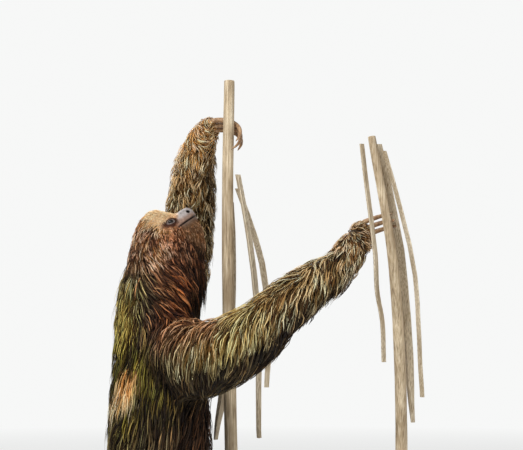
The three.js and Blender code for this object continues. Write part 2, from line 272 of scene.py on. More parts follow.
def finish_piece(obj, material, replaced=()):
    """Gives a finished piece its material and tells the frame about it."""
    obj.data.materials.clear()
    obj.data.materials.append(material)
    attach(obj, "root")
    if replaced:
        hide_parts(*replaced)
    print(f"{obj.name}: {sum(len(p.vertices) - 2 for p in obj.data.polygons)} triangles")


print("object helpers ready")

# %% [markdown]
# ## Materials from nodes
# Every finish is a small recipe of shader nodes. A recipe here ends in the Principled shader and
# adds noise for colour and for bump. The class below keeps each recipe short: it makes a node,
# fills in its values, and links what is given as a socket.

# %% Node helpers
class Recipe:
    """The nodes of one material or world, and short ways to add to them."""

    def __init__(self, owner):
        owner.use_nodes = True
        self.owner, self.tree = owner, owner.node_tree
        self.tree.nodes.clear()

    def add(self, kind, *numbered, **named):
        """Adds a shader node and gives its outputs. Values go to inputs by number or by name, and
        a name in small letters is a setting of the node itself."""
        node = self.tree.nodes.new(f"ShaderNode{kind}")
        for name, value in (*enumerate(numbered), *named.items()):
            if isinstance(name, str) and name.islower():
                setattr(node, name, value)
                continue
            socket = node.inputs[name if isinstance(name, int) else name.replace("_", " ")]
            if isinstance(value, bpy.types.NodeSocket):
                self.tree.links.new(value, socket)
            else:
                socket.default_value = value
        return node.outputs

    def where(self, squeeze=(1, 1, 1)):
        """The object's own coordinates, squeezed along each axis."""
        source = self.add("TexCoord")["Object"]
        return self.add("Mapping", Vector=source, Scale=squeeze)[0]

    def length(self, vector):
        return self.add("VectorMath", vector, operation="LENGTH")["Value"]

    def noise(self, vector, scale, detail=3.0, roughness=0.55):
        """Noise at a vector, or on the object's own coordinates squeezed by a tuple."""
        vector = self.where(vector) if isinstance(vector, tuple) else vector
        return self.add("TexNoise", Vector=vector, Scale=scale, Detail=detail,
                        Roughness=roughness)["Fac"]

    def ramp(self, factor, *stops):
        """Colours along a ramp; each stop is a place from 0 to 1 and a colour."""
        colour = self.add("ValToRGB", factor)[0]
        elements = colour.node.color_ramp.elements
        while len(elements) < len(stops):
            elements.new(0.5)
        for element, (place, rgb) in zip(elements, stops):
            element.position = place
            element.color = (*rgb, 1)
        return colour

    def remap(self, value, low, high):
        return self.add("MapRange", value, To_Min=low, To_Max=high)[0]

    def multiply(self, a, b, share=1.0):
        mixed = self.add("Mix", share, data_type="RGBA", blend_type="MULTIPLY")[2]
        for socket, colour in zip(mixed.node.inputs[6:8], (a, b)):
            self.tree.links.new(colour, socket)
        return mixed

    def attribute(self, name, output="Color"):
        return self.add("Attribute", attribute_name=name)[output]

    def relief(self, height, distance, strength, **under):
        return self.add("Bump", Height=height, Distance=distance, Strength=strength, **under)[0]

    def finish(self, shader, kind="Material"):
        self.add(f"Output{kind}", Surface=shader)
        return self.owner

    def surface(self, **inputs):
        return self.finish(self.add("BsdfPrincipled", **inputs)[0])


print("recipe class ready")


# %% A material's recipe, and which rays see the backdrop
def recipe(name):
    return Recipe(bpy.data.materials.new(name))


def seen_share(r):
    """1 for rays sent out by the camera, by gloss or by glass, which see the backdrop."""
    path = r.add("LightPath")
    share = path["Is Camera Ray"]
    for kind in ("Is Glossy Ray", "Is Transmission Ray"):
        share = r.add("Math", share, path[kind], operation="MAXIMUM")[0]
    return share


print("recipes ready")

# %% [markdown]
# ## The camera and the studio
# The animal is seen from its right side, level with its shoulders, through a long lens, as such a
# shy animal is watched from afar. The frame shows the upper body, and the display stand and
# the legs are below it. The world behind it is plain and pale, and fills the shadows less brightly
# than it looks. A broad soft lamp from the upper left stands for the open sky above a clearing.

# %% Camera
VIEW_CENTRE = Vector((0.0094, 0.0, 0.5258))
VIEW_WIDTH = 0.6538
CAMERA_DISTANCE = 3.2
SENSOR_WIDTH = 36.0

camera_data = bpy.data.cameras.new("camera")
camera_data.sensor_width = SENSOR_WIDTH
camera_data.lens = SENSOR_WIDTH * CAMERA_DISTANCE / VIEW_WIDTH
camera = new_object("camera", camera_data)
camera.location = VIEW_CENTRE + Vector((0, -CAMERA_DISTANCE, 0))
camera.rotation_euler = (math.pi / 2, 0, 0)
bpy.context.scene.camera = camera
print("lens, millimetres:", round(camera_data.lens, 1))

# %% World and lamps
WORLD_LIGHT, WORLD_LEVEL = (0.97, 0.985, 1.0, 1), 0.40
BACKDROP = (0.93, 0.935, 0.93, 1)
LAMPS = {  # place, size across and power
    "lamp_sky": ((-0.9, -1.5, 2.5), 1.6, 60),
    "lamp_fill": ((2.0, -1.9, 1.1), 1.8, 10),
    "lamp_back": ((-1.2, 2.0, 1.9), 1.6, 22),
}

r = Recipe(bpy.data.worlds.new("pale_world"))
light = r.add("Background", WORLD_LIGHT, WORLD_LEVEL)[0]
backdrop = r.add("Background", BACKDROP, 1.0)[0]
choice = r.add("MixShader", seen_share(r), light, backdrop)[0]
bpy.context.scene.world = r.finish(choice, "World")
for name, (place, size, power) in LAMPS.items():
    data = bpy.data.lights.new(name, "AREA")
    data.shape, data.size, data.energy = "DISK", size, power
    obj = new_object(name, data)
    obj.location = place
    obj.rotation_euler = (VIEW_CENTRE - obj.location).to_track_quat("-Z", "Y").to_euler()
bpy.context.scene.view_settings.view_transform = "Standard"
print("lamps:", sorted(LAMPS))

# %% [markdown]
# ## One skin from many solids
# On the animal there are no seams between trunk, neck and limbs, but the CAD model has a thin cut
# at each. Modelling a new body by hand would drift from the CAD, so the solids are grown by just
# over half a cut, joined, and remeshed into even small squares, which closes every cut. The eyeballs
# are put in too, only to fill their sockets. Tapered cones are joined in as fingers and toes, which
# run from inside each hand or foot to its claws.

# %% Parts and fingers
SIDES = ("right", "left")
HEAD_FLESH = ("head", "jaw", "nose")
LIMB_FLESH = ("upper_arm", "forearm", "hand", "thigh", "shin", "foot")
FLESH = ("trunk", "neck", *HEAD_FLESH, "tail", *(f"{part}_{side}" for side in SIDES for part in LIMB_FLESH))
EYES = tuple(f"eye_{side}" for side in SIDES)
CLAWS = {f"claw_{limb}_{side}_{n}": f"{part}_{side}"
         for limb, part in (("arm", "hand"), ("leg", "foot")) for side in SIDES for n in (1, 2, 3)}
CUT_GROWTH = 0.6 * MM
SKIN_VOXEL, HEAD_VOXEL = 3.4 * MM, 1.3 * MM
FINGER_THICK, FINGER_THIN = 9.5 * MM, 7.2 * MM
FINGER_START, PAST_ROOT = 0.4, 4 * MM


def claw_root(claw):
    """Where a claw leaves its hand or foot."""
    horn = vertex_places(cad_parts[claw].data)
    away = lengths(horn - np.array(middle(CLAWS[claw])))
    return Vector(horn[away < away.min() + 4 * MM].mean(axis=0))


def add_finger(claw):
    """A tapered finger from inside the hand to just past the claw's root."""
    end = claw_root(claw)
    start = middle(CLAWS[claw]).lerp(end, FINGER_START)
    end += (end - start).normalized() * PAST_ROOT
    along = end - start
    bpy.ops.mesh.primitive_cone_add(vertices=12, radius1=FINGER_THICK, radius2=FINGER_THIN,
                                    depth=along.length, location=(start + end) / 2,
                                    rotation=along.to_track_quat("Z", "Y").to_euler())
    return bpy.context.object


print("claws:", len(CLAWS))

# %% Join and remesh
skin, cad_places, cad_faces, cad_owner = from_nodes("skin", FLESH + EYES, CUT_GROWTH)
cad_tree = BVHTree.FromPolygons(cad_places.tolist(), cad_faces)
use_only(*[add_finger(claw) for claw in CLAWS], skin)
bpy.ops.object.join()
apply_modifier(skin, "REMESH", mode="VOXEL", voxel_size=SKIN_VOXEL, adaptivity=0.0)
print("skin vertices:", len(skin.data.vertices))

# %% A finer form of the head
HEAD_FORM_ROUNDS = 14
head_form = from_nodes("head_form", HEAD_FLESH + EYES, CUT_GROWTH)[0]
apply_modifier(head_form, "REMESH", mode="VOXEL", voxel_size=HEAD_VOXEL, adaptivity=0.0)
form_places = spread(vertex_places(head_form.data), edge_ends(head_form.data), HEAD_FORM_ROUNDS)
form_tree = BVHTree.FromPolygons(form_places.tolist(), [tuple(p.vertices) for p in head_form.data.polygons])
bpy.data.objects.remove(head_form)
print("head form vertices:", len(form_places))

# %% [markdown]
# ## The head's own axes
# The snout points up and a little to the animal's right. Features of the face are easier to place
# along the snout, across the head and up through the crown, so the head gets axes of its own. Their
# origin is worked out from the middle of the two CAD eyeballs.

# %% Head axes
HEAD_PITCH, HEAD_YAW = math.radians(52), math.radians(6)
EYES_FROM_ORIGIN = Vector((-0.9, 0, -1.0)) * MM
head_turn = Matrix.Rotation(-HEAD_YAW, 3, "Z") @ Matrix.Rotation(-HEAD_PITCH, 3, "Y")
eye_middle = (middle("eye_right") + middle("eye_left")) / 2
head_origin = np.array(eye_middle - head_turn @ EYES_FROM_ORIGIN)
HEAD_AXES = np.array(head_turn)


def to_head(points):
    """World places as millimetres along the snout, to the left, and to the crown."""
    return (points - head_origin) @ HEAD_AXES / MM


print("head origin:", head_origin.round(4))

# %% Finer squares on the face
FACE_BACK, SNOUT_BACK = -24.0, 4.0
FACE_LOW, FACE_SIZE = -52, 66
EYES_FINE, EYES_FINEST, NOSTRIL_FINEST, MOUTH_FINEST = 17, 10.5, 4.5, 2.4
NOSTRILS = [np.array((24.0, side * 10.0, -8.1)) for side in (-1, 1)]
eye_centres = {side: np.array(middle(f"eye_{side}")) for side in SIDES}


def subdivide_where(obj, chosen):
    """Cuts each chosen face in four."""
    use_only(obj)
    set_mode("EDIT")
    bpy.ops.mesh.select_all(action="DESELECT")
    set_mode("OBJECT")
    obj.data.polygons.foreach_set("select", chosen)
    set_mode("EDIT")
    bpy.ops.mesh.select_mode(type="FACE")
    bpy.ops.mesh.subdivide(number_cuts=1, quadcorner="INNERVERT")
    set_mode("OBJECT")


def mouth_height(x):
    """The height of the mouth's line above the head's origin, at x along the snout."""
    return -13.4 - 0.20 * (x - 1.0) + 0.7 * bump(3, 6, x) + 0.8 * bump(12, 6, x)


print("mouth height at its corner:", mouth_height(1.0).round(2))

# %% Cut the face finer
for step in range(3):
    centres = read(skin.data.polygons, "center", 3)
    local = to_head(centres)
    to_eyes = nearest(centres, eye_centres.values()) / MM
    on_face = (local[:, 0] > (FACE_BACK, SNOUT_BACK, FACE_BACK)[step]) & (local[:, 2] > FACE_LOW)
    on_face &= lengths(local) < FACE_SIZE
    if step < 2:
        chosen = on_face | (to_eyes < EYES_FINE)
    else:
        near_mouth = (abs(local[:, 2] - mouth_height(local[:, 0])) < MOUTH_FINEST) & (local[:, 0] > -1)
        chosen = (to_eyes < EYES_FINEST) | (nearest(local, NOSTRILS) < NOSTRIL_FINEST)
        chosen |= near_mouth & on_face
    subdivide_where(skin, chosen)
use_only(skin)
set_mode("EDIT")
bpy.ops.mesh.select_all(action="SELECT")
bpy.ops.mesh.quads_convert_to_tris()
set_mode("OBJECT")
print("skin triangles:", len(skin.data.polygons))

# %% [markdown]
# ## What each patch of skin belongs to
# A coat differs from part to part: long and green on the back, short and tan on the face. Each
# skin point asks which CAD solid is nearest, and the answers are averaged over their neighbours, so
# that one kind of coat turns softly into the next. The list gives each kind's numbers.

# %% The coat of each part
COAT_FIELDS = ("depth", "length", "width", "per_cm2", "lift", "curl", "clump", "frizz")
COATS = {
    "trunk": (13.0, 36, 1.20, 15.4, 0.16, 2.0, 0.50, 0.9),
    "neck": (11.0, 28, 0.98, 34, 0.24, 2.2, 0.45, 1.35),
    "head": (5.5, 12, 0.75, 58, 0.32, 1.1, 0.40, 1.3),
    "jaw": (4.0, 10, 0.75, 60, 0.26, 0.7, 0.35, 1.1),
    "nose": (0.4, 3, 0.45, 60, 0.30, 0.2, 0.0, 0.8),
    "tail": (7.0, 20, 1.20, 20, 0.25, 1.6, 0.40, 1.0),
    "upper_arm": (11.0, 32, 1.12, 21, 0.18, 2.2, 0.50, 1.0),
    "upper_arm_left": (11.0, 18, 1.02, 28, 0.34, 3.2, 0.30, 1.5),
    "forearm": (10.0, 27, 1.08, 25, 0.24, 2.8, 0.40, 1.4),
    "forearm_left": (10.0, 16, 0.98, 34, 0.34, 3.2, 0.25, 1.5),
    "hand": (5.0, 12, 0.85, 42, 0.28, 1.8, 0.30, 1.6),
    "thigh": (11.0, 32, 1.30, 13.5, 0.20, 1.8, 0.45, 0.9),
    "shin": (9.0, 25, 1.22, 18, 0.24, 2.0, 0.45, 1.0),
    "foot": (5.0, 12, 1.00, 36, 0.28, 1.2, 0.35, 1.1),
}
BLEND_ROUNDS = 20
ends = edge_ends(skin.data)
places = vertex_places(skin.data)


def coat_numbers(node):
    return COATS.get(node) or COATS[node.removesuffix("_right").removesuffix("_left")]


owner = np.array([cad_owner[cad_tree.find_nearest(Vector(p))[2]] for p in places])
owner[owner >= len(FLESH)] = FLESH.index("head")
shares = np.zeros((len(places), len(FLESH)))
shares[np.arange(len(places)), owner] = 1
shares = spread(shares, ends, BLEND_ROUNDS)
coat = dict(zip(COAT_FIELDS, (shares @ np.array([coat_numbers(node) for node in FLESH])).T))
print("mean coat depth, mm:", coat["depth"].mean().round(1))

# %% [markdown]
# ## Bare and short-haired places
# The muzzle is bare down to the lips, the lids are bare, and the hair grows longer away from them.
# One number for each skin point says how much hair it carries, from 0 on bare skin to 1. Two places
# on the body are smoother than the rest: the bright streak on each flank, and the hollow of the
# throat, where the hair lies flat. The coat is also thinner round the claws.

# %% Where the eyes are
GAZES = {side: unit(np.array((0.44, sign * 0.90, 0.02))) for side, sign in (("right", -1), ("left", 1))}
SLIT = np.array((0.89, 0, -0.455))  # the eye's slit, tilted down at the front from the snout's line
EYE_LONG, EYE_UP, EYE_DOWN = 3.9, 2.05, 1.85
BARE_LID, GREY_LID, EYE_RING = (1.8, 1.45), (1.75, 1.35), (4.8, 2.9)  # limits of ramps, in reaches


def eye_axes(side):
    gaze = HEAD_AXES @ GAZES[side]
    slit = HEAD_AXES @ SLIT
    slit = unit(slit - gaze * (slit @ gaze))
    up = np.cross(gaze, slit)
    up *= np.sign(up @ HEAD_AXES[:, 2])
    return slit, up, gaze


def from_eye(points, side):
    """Offsets from an eye in millimetres, how far forward they are, and their reach, which is 1
    on the edge of the lids."""
    slit, up, gaze = eye_axes(side)
    offset = (points - eye_centres[side]) / MM
    across, high, out = offset @ slit, offset @ up, offset @ gaze
    half_height = np.where(high > 0, EYE_UP, EYE_DOWN)
    return offset, out, np.sqrt((across / EYE_LONG) ** 2 + (high / half_height) ** 2)


def eye_reach(points):
    """The reach from the nearer eye, for the places that it can see."""
    found = np.full(len(points), 99.0)
    for side in SIDES:
        _, out, reach = from_eye(points, side)
        found = np.where(out > -2, np.minimum(found, reach), found)
    return found


print("nearest reach:", eye_reach(places).min().round(2))

# %% Where the muzzle is
HEAD_EDGE = (70, 60)  # this and the pairs like it are a ramp's limits, in millimetres


def near_head(local):
    return ramp(*HEAD_EDGE, lengths(local))


def muzzle_share(local):
    """1 on the bare muzzle and 0 on the hairy face."""
    x, _, z = local.T
    above = z > mouth_height(x)
    border = np.where(above, 12.5 + 0.8 * np.minimum(z - 0.4, 0), 7.0)
    bare = ramp(border - 6.0, border + 4.0, x)
    lips = ramp(-7.5, -2.5, z - mouth_height(x))
    return np.where(above, bare, bare * lips) * ramp(-60, -45, z)


def hair_share(points):
    local = to_head(points)
    bare = muzzle_share(local) * near_head(local)
    lids = ramp(*BARE_LID, eye_reach(points))
    return (1 - bare) * (1 - lids)


hair = hair_share(places)
print("bare skin points:", int((hair < 0.1).sum()))

# %% Short hair and smooth hair
STREAK_LOW, STREAK_FADE, STREAK_HIGH = 0.73, 0.87, 0.92  # heights as shares of the trunk's height
trunk_low, trunk_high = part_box("trunk")
neck_low, neck_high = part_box("neck")
MUZZLE_MIDDLE = np.array((12, 0, 2))
SMOOTH_BROW, SHORT_HAIR = (48, 34), (28, 64)


def height_in(points, low, high):
    return (points[:, 2] - low.z) / (high.z - low.z)


def face_shortness(points):
    """Shorter hair close to the muzzle and the eyes: a share of the head's length."""
    local = to_head(points)
    near = ramp(*SHORT_HAIR, lengths(local - MUZZLE_MIDDLE))
    return np.where(lengths(local) < HEAD_EDGE[0], 0.34 + 0.66 * near, 1.0)


def streak_share(points, normals):
    """1 on the leaning streak of smooth bright hair on each side of the back."""
    height = height_in(points, trunk_low, trunk_high)
    from_back = (points[:, 0] - trunk_low.x) / (trunk_high.x - trunk_low.x)
    from_back += 0.06 * (cloud(points, 14 * MM, 41) - 0.5)
    leaning = mix(0.20, 0.31, ramp(0.72, 0.94, height))
    streak = ramp(0.105, 0.05, np.abs(from_back - leaning)) * ramp(0.0, -0.3, normals[:, 0])
    return streak * ramp(STREAK_LOW, STREAK_LOW + 0.03, height) * ramp(STREAK_HIGH, STREAK_FADE, height)


def throat_notch(points, normals):
    """1 in the hollow under the throat, where the hair lies flat."""
    height = height_in(points, neck_low, neck_high)
    return ramp(0.1, 0.6, normals[:, 0]) * ramp(0.85, 0.50, height) * ramp(-0.15, 0.0, height)


def chin_share(local):
    return ramp(-12, -19, local[:, 2]) * ramp(-5, 5, local[:, 0])


def face_calm(points):
    """1 where the hair is smooth and even, as on the forehead, and 0 where it is shaggy."""
    local = to_head(points)
    brow = ramp(*SMOOTH_BROW, lengths(local - MUZZLE_MIDDLE) + 1.1 * np.maximum(0, -5 - local[:, 2]))
    return np.maximum(0.92 * brow, 0.55 * chin_share(local)) * near_head(local)


print("helpers ready")

# %% Thin the coat by place
short = face_shortness(places)
even_normals = unit(spread(vertex_normals(skin.data), ends, 5))
calm = np.maximum(face_calm(places), 0.72 * streak_share(places, even_normals))
CLAW_SHORT_HAIR, CLAW_COMBING = (24, 9), (34, 14)
claw_roots = np.array([claw_root(claw) for claw in CLAWS])
from_claws = nearest(places, claw_roots) / MM
near_claws = ramp(*CLAW_SHORT_HAIR, from_claws)
coat["flat"] = 0.7 * throat_notch(places, even_normals)
coat["length"] *= short * (0.45 + 0.55 * hair)
coat["depth"] *= mix(short, 1.0, 0.15) * (0.08 + 0.92 * hair)
coat["width"] *= (0.55 + 0.45 * short) * (0.7 + 0.3 * hair)
coat["depth"] *= 1 - 0.8 * near_claws
coat["length"] *= 1 - 0.3 * near_claws
coat["per_cm2"] *= 1 + 0.9 * (1 - short)
print("smooth-haired points:", int((calm > 0.5).sum()))

# %% [markdown]
# ## Sink the skin under its coat
# The solids reach to the tips of the hair, so the skin lies deeper by the depth of the coat there.
# The head's points first settle on a finer and smoother form of the CAD head. Then every point
# moves in along its normal, and the whole skin is relaxed.

# %% Move the skin inwards
head_share = shares[:, [FLESH.index(n) for n in HEAD_FLESH]].sum(axis=1)
settle = ramp(0.55, 0.95, head_share)
places = mix_rows(places, (spread(places, ends, 8), 1 - settle))
on_head = np.flatnonzero(settle > 0)
settled = np.array([form_tree.find_nearest(Vector(p))[0] for p in places[on_head]])
places[on_head] = mix_rows(places[on_head], (settled, settle[on_head]))
set_places(skin.data, places)
normals = unit(spread(vertex_normals(skin.data), ends, 6))
depth = spread(coat["depth"], ends, 4)
places = places - normals * depth[:, None] * MM
places = mix_rows(spread(places, ends, 6), (places, ramp(0.2, 0.0, hair) * ramp(0.5, 0.9, head_share)))
set_places(skin.data, places)
print("skin lies in by, mm:", depth.min().round(1), "to", depth.max().round(1))

# %% [markdown]
# ## The face
# A sloth's face is quiet: a blunt bare muzzle with round nostrils, a long closed mouth whose corner
# turns up, and small wet eyes under soft lids. These folds are a few millimetres deep, so they are
# pushed into the fine squares of the face by formulas, as a sculptor's brushes would do.

# %% Lids around the eyeballs
EYE_RADIUS = 6.2
LID_THICK = 0.75
SOCKET_DEPTH = 1.8

for side in SIDES:
    offset, out, reach = from_eye(places, side)
    distance = lengths(offset)
    lid = EYE_RADIUS - SOCKET_DEPTH + (SOCKET_DEPTH + LID_THICK) * ramp(0.93, 1.12, reach)
    lid += 0.35 * bump(1.22, 0.12, reach) - 0.45 * bump(1.62, 0.13, reach)
    lid += 0.5 * ramp(1.6, 2.3, reach) - 0.3 * bump(2.15, 0.12, reach)
    target = mix(lid, distance, ramp(2.0, 3.0, reach))
    near = (out > 0) & (distance < 15)
    places[near] = eye_centres[side] + unit(offset[near]) * target[near, None] * MM
set_places(skin.data, places)
print("points near the eyes:", int((nearest(places, eye_centres.values()) < 12 * MM).sum()))

# %% Nostrils, mouth and folds of the muzzle
NOSTRIL_RADIUS, NOSTRIL_DEPTH = 2.4, 4.2
MOUTH_DEPTH, MOUTH_CORNER = 1.9, 1.0

local = to_head(places)
x, _, z = local.T
push = np.zeros(len(places))
in_nostril = np.zeros(len(places))
for place, side in zip(NOSTRILS, (-1, 1)):
    aim = unit(np.array((0.62, side * 0.78, 0.05)))
    offset = local - place
    beside = lengths(offset - (offset @ aim)[:, None] * aim) / NOSTRIL_RADIUS
    ahead = np.abs(offset @ aim) < 6
    push -= NOSTRIL_DEPTH * ramp(1.05, 0.62, beside) * ahead
    in_nostril = np.maximum(in_nostril, ramp(1.15, 0.8, beside) * ahead)
    push += 0.45 * bump(1.45, 0.3, beside) * ahead
on_muzzle = ramp(60, 50, lengths(local)) * (z > -45)
from_mouth = z - mouth_height(x)
along = ramp(MOUTH_CORNER - 4, MOUTH_CORNER + 3, x) * on_muzzle
push -= MOUTH_DEPTH * bump(0, 0.75, from_mouth) * along
push += 0.55 * bump(2.3, 1.1, from_mouth) * along + 0.5 * bump(-2.2, 1.1, from_mouth) * along
corner_fold = np.hypot(x - MOUTH_CORNER + 3.5, (z - mouth_height(MOUTH_CORNER) + 1.0) * 0.7)
push -= 0.8 * bump(4.0, 0.9, corner_fold) * ramp(4, 0, x) * on_muzzle
bare = muzzle_share(local) * on_muzzle
wrinkles = np.sin(x * 2.1 + 2.5 * cloud(places, 6 * MM, 3) * 2) * ramp(16, 8, x) * (z > -12)
push += 0.12 * wrinkles * bare
push += 0.25 * (cloud(places, 2.2 * MM, 5) - 0.5) * bare
places = places + vertex_normals(skin.data) * push[:, None] * MM
set_places(skin.data, places)
smooth_faces(skin)
print("deepest push, mm:", push.min().round(2))

# %% [markdown]
# ## The lie of the coat
# Hair lies along the body in one direction at each place, as if combed. On this animal it runs
# back from the muzzle over the cheeks, sweeps forward and down across the neck to the throat, hangs
# straight down the back, falls from the arms, and runs over the hands and feet to the claws. Each
# part has a rule for that direction, the rules are blended like the coats, and a gentle noise makes
# the locks wander.

# %% Combing rules
DOWN = np.array((0, 0, -1.0))
arm_runs = {side: unit(np.array(middle(f"hand_{side}") - middle(f"upper_arm_{side}"))) for side in SIDES}
neck_middle = middle("neck").z


def forward_and_down(forward, sideways=0.0):
    return np.stack([forward, sideways + 0 * forward, -np.ones(len(forward))], axis=1)


def comb_trunk(p, n):
    sweep = -0.95 * ramp(0.62, 0.25, height_in(p, trunk_low, trunk_high)) * (1 - np.abs(n[:, 0]))
    return forward_and_down(sweep - 0.12, 0.7 * ramp(0.2, 0.8, n[:, 0]) * np.sign(p[:, 1]))


def comb_neck(p, n):
    forward = ramp(-0.85, -0.25, n[:, 0]) * ramp(0.95, 0.5, n[:, 0])
    low = ramp(neck_middle + 0.0, neck_middle - 0.04, p[:, 2])
    return forward_and_down((1.25 - 0.5 * low) * forward - 0.1)


def comb_head(p, n):
    local = to_head(p)
    back = unit(local - np.array((34, 0, -6))) @ HEAD_AXES.T
    cheek = forward_and_down(0.25 + 0.5 * ramp(-10, -42, local[:, 0]))
    return mix_rows(cheek, (back, ramp(-4, 12, local[:, 2]) * ramp(-50, -24, local[:, 0])))


def comb_down(side, back, out):
    return lambda p, n: DOWN - back * arm_runs[side] + out * n * np.array((1, 1, 0))


def comb_towards(node, down):
    goal = np.array(middle(node))
    return lambda p, n: unit(goal - p) + down * DOWN


print("arms run along:", arm_runs["right"].round(2), arm_runs["left"].round(2))

# %% A rule for each part
COMBS = {
    "trunk": comb_trunk, "neck": comb_neck, "head": comb_head, "jaw": comb_head, "nose": comb_head,
    "tail": lambda p, n: DOWN + np.array((-0.8, 0, 0)),
    "upper_arm_right": comb_down("right", 0.15, 0.1), "upper_arm_left": comb_down("left", 0.1, 0.35),
    "forearm_right": comb_down("right", 0.45, 0.15), "forearm_left": comb_down("left", 0.1, 0.45),
    "hand_right": comb_down("right", 0.1, 0.5), "hand_left": comb_down("left", 0.0, 0.5),
}
for side in SIDES:
    for part, goal, down in (("thigh", "shin", 1.2), ("shin", "foot", 0.8), ("foot", "foot", 1.0)):
        COMBS[f"{part}_{side}"] = comb_towards(f"{goal}_{side}", down)

print("rules for", len(COMBS), "parts")

# %% Comb the skin
normals = vertex_normals(skin.data)
body_normals = unit(spread(normals, ends, 5))
combed = np.zeros_like(places)
for number, node in enumerate(FLESH):
    combed += shares[:, [number]] * unit(COMBS[node](places, body_normals))
nearest_root = claw_roots[np.argmin([lengths(places - spot) for spot in claw_roots], axis=0)]
combed += unit(nearest_root - places) * (1.6 * ramp(*CLAW_COMBING, from_claws))[:, None]
combed = unit(combed) + 0.30 * cloud_vector(places, 26 * MM, 11) + 0.16 * cloud_vector(places, 9 * MM, 21)
along_skin = combed - normals * np.sum(combed * normals, axis=1, keepdims=True)
flow = unit(spread(unit(along_skin), ends, 2))
print("combed", len(flow), "points")

# %% [markdown]
# ## The coat's colours
# A sloth's hair is grey-brown, but algae grow in it and tint the back and neck olive green. The face
# is cream above the eyes, with a dark reddish ring round each eye, the cheeks and throat are rusty
# brown, and a leaning streak on each flank is cream below and orange above. The colours below are
# those of the lit hair. One function gives them for any place, and both the skin and the hair ask
# it, so that they carry the same markings. Each layer is a colour and the share that it covers.

# %% Colours by name
CREAM, TAN, RUST = 2.2 * srgb(255, 228, 184), 1.4 * srgb(226, 176, 128), srgb(182, 110, 70)
RING, CHEEK, CHIN = srgb(76, 40, 26), srgb(200, 142, 100), 1.5 * srgb(128, 94, 66)
THROAT, UMBER, ASH = srgb(44, 27, 8), srgb(74, 54, 30), srgb(176, 160, 120)
ALGAE, MOSS, OLIVE = 0.75 * srgb(136, 122, 42), 0.9 * srgb(206, 194, 112), srgb(62, 51, 17)
HAY, SHADED_BELLY, EMBER = 4.2 * srgb(226, 202, 166), srgb(60, 38, 20), srgb(134, 76, 36)
UPPER_ARM, FOREARM, RAISED = srgb(240, 212, 158), 1.45 * srgb(166, 146, 106), 1.75 * srgb(220, 192, 144)
PALE_SPOT, ORANGE_SPOT = 2.4 * srgb(250, 228, 186), 1.5 * srgb(232, 184, 124)
MUZZLE_TOP, MUZZLE_SIDE, LIP = 0.66 * srgb(196, 188, 184), srgb(132, 106, 90), srgb(108, 86, 70)
CROWN = srgb(208, 176, 146)
print("cream, linear:", CREAM.round(2))


# %% Colours of the trunk and neck
def painted_back_shade(n):
    """Painted shade: darker where the coat faces straight back, which the light seldom reaches."""
    return mix(1.0, 0.5, ramp(-0.72, -0.97, n[:, 0]))[:, None]


def trunk_colour(p, n, rough, mottle):
    height = height_in(p, trunk_low, trunk_high)
    back = mix_rows(ALGAE, (OLIVE, ramp(0.62, 0.30, height + 0.3 * (rough - 0.5)))) * painted_back_shade(n)
    flank = mix_rows(OLIVE, (UMBER, 0.5 * mottle), (ALGAE, ramp(0.6, 0.95, height) * 0.2))
    lower = ramp(STREAK_LOW + 0.10, STREAK_LOW - 0.12, height + 0.25 * (rough - 0.5))
    streak = mix_rows(PALE_SPOT, (ORANGE_SPOT, ramp(0.80, 0.84, height + 0.03 * (rough - 0.5))))
    # The front of the trunk takes the belly's dark brown, partly its own colour and partly painted shade.
    return mix_rows(back, (flank, ramp(-0.75, -0.1, n[:, 0])),
                    (mix_rows(1.2 * UMBER, (0.6 * ASH, 0.4 * mottle)), 0.8 * lower),
                    (streak, streak_share(p, n)),
                    (SHADED_BELLY, ramp(0.25, 0.8, n[:, 0]) * ramp(0.95, 0.75, height)))


def neck_colour(p, n, fine):
    low = ramp(neck_middle + 0.045, neck_middle - 0.03, p[:, 2])
    back = mix_rows(0.38 * ASH + 0.25 * ALGAE, (2.5 * ALGAE + 0.4 * ASH, low)) * painted_back_shade(n)
    ember = EMBER * mix(0.6, 1.0, ramp(-0.4, 0.2, n[:, 0]))[:, None]
    side = mix_rows(0.42 * ASH, (0.5 * UMBER, 0.4 + 0.5 * fine), (ember, ramp(-0.7, -0.1, n[:, 0]) * 0.85))
    return mix_rows(back, (side, ramp(-0.9, -0.45, n[:, 0])), (THROAT, ramp(0.2, 0.75, n[:, 0])))


print("trunk and neck ready")


# %% Colours of the arms
def right_arm_colour(p, n, rough, mottle):
    over_shoulder = ramp(0.45, 0.95, n[:, 2]) * ramp(0.0, -0.04, p[:, 0])
    # Painted shade: olive and umber are dimmed to 0.7 towards the trunk, and umber covers the arm's
    # underside.
    return mix_rows(UPPER_ARM, (MOSS, 0.8 * rough), (FOREARM, ramp(-0.01, 0.06, p[:, 0])),
                    (0.7 * mix_rows(OLIVE, (UMBER, 0.8 * mottle)), ramp(-0.055, -0.11, p[:, 0])),
                    (0.55 * UMBER, ramp(0.35, -0.3, n[:, 2]) * 0.95),
                    (0.65 * mix_rows(RUST, (TAN, 0.5 * mottle)), over_shoulder * 0.85))


def left_arm_colour(p, n, mottle):
    # Painted shade: umber darkens the side of the arm that faces forward.
    return mix_rows(RAISED, (ASH, mottle), (HAY, ramp(0.58, 0.65, p[:, 2])),
                    (UMBER, ramp(0.3, 0.9, n[:, 0]) * 0.7))


print("arms ready")


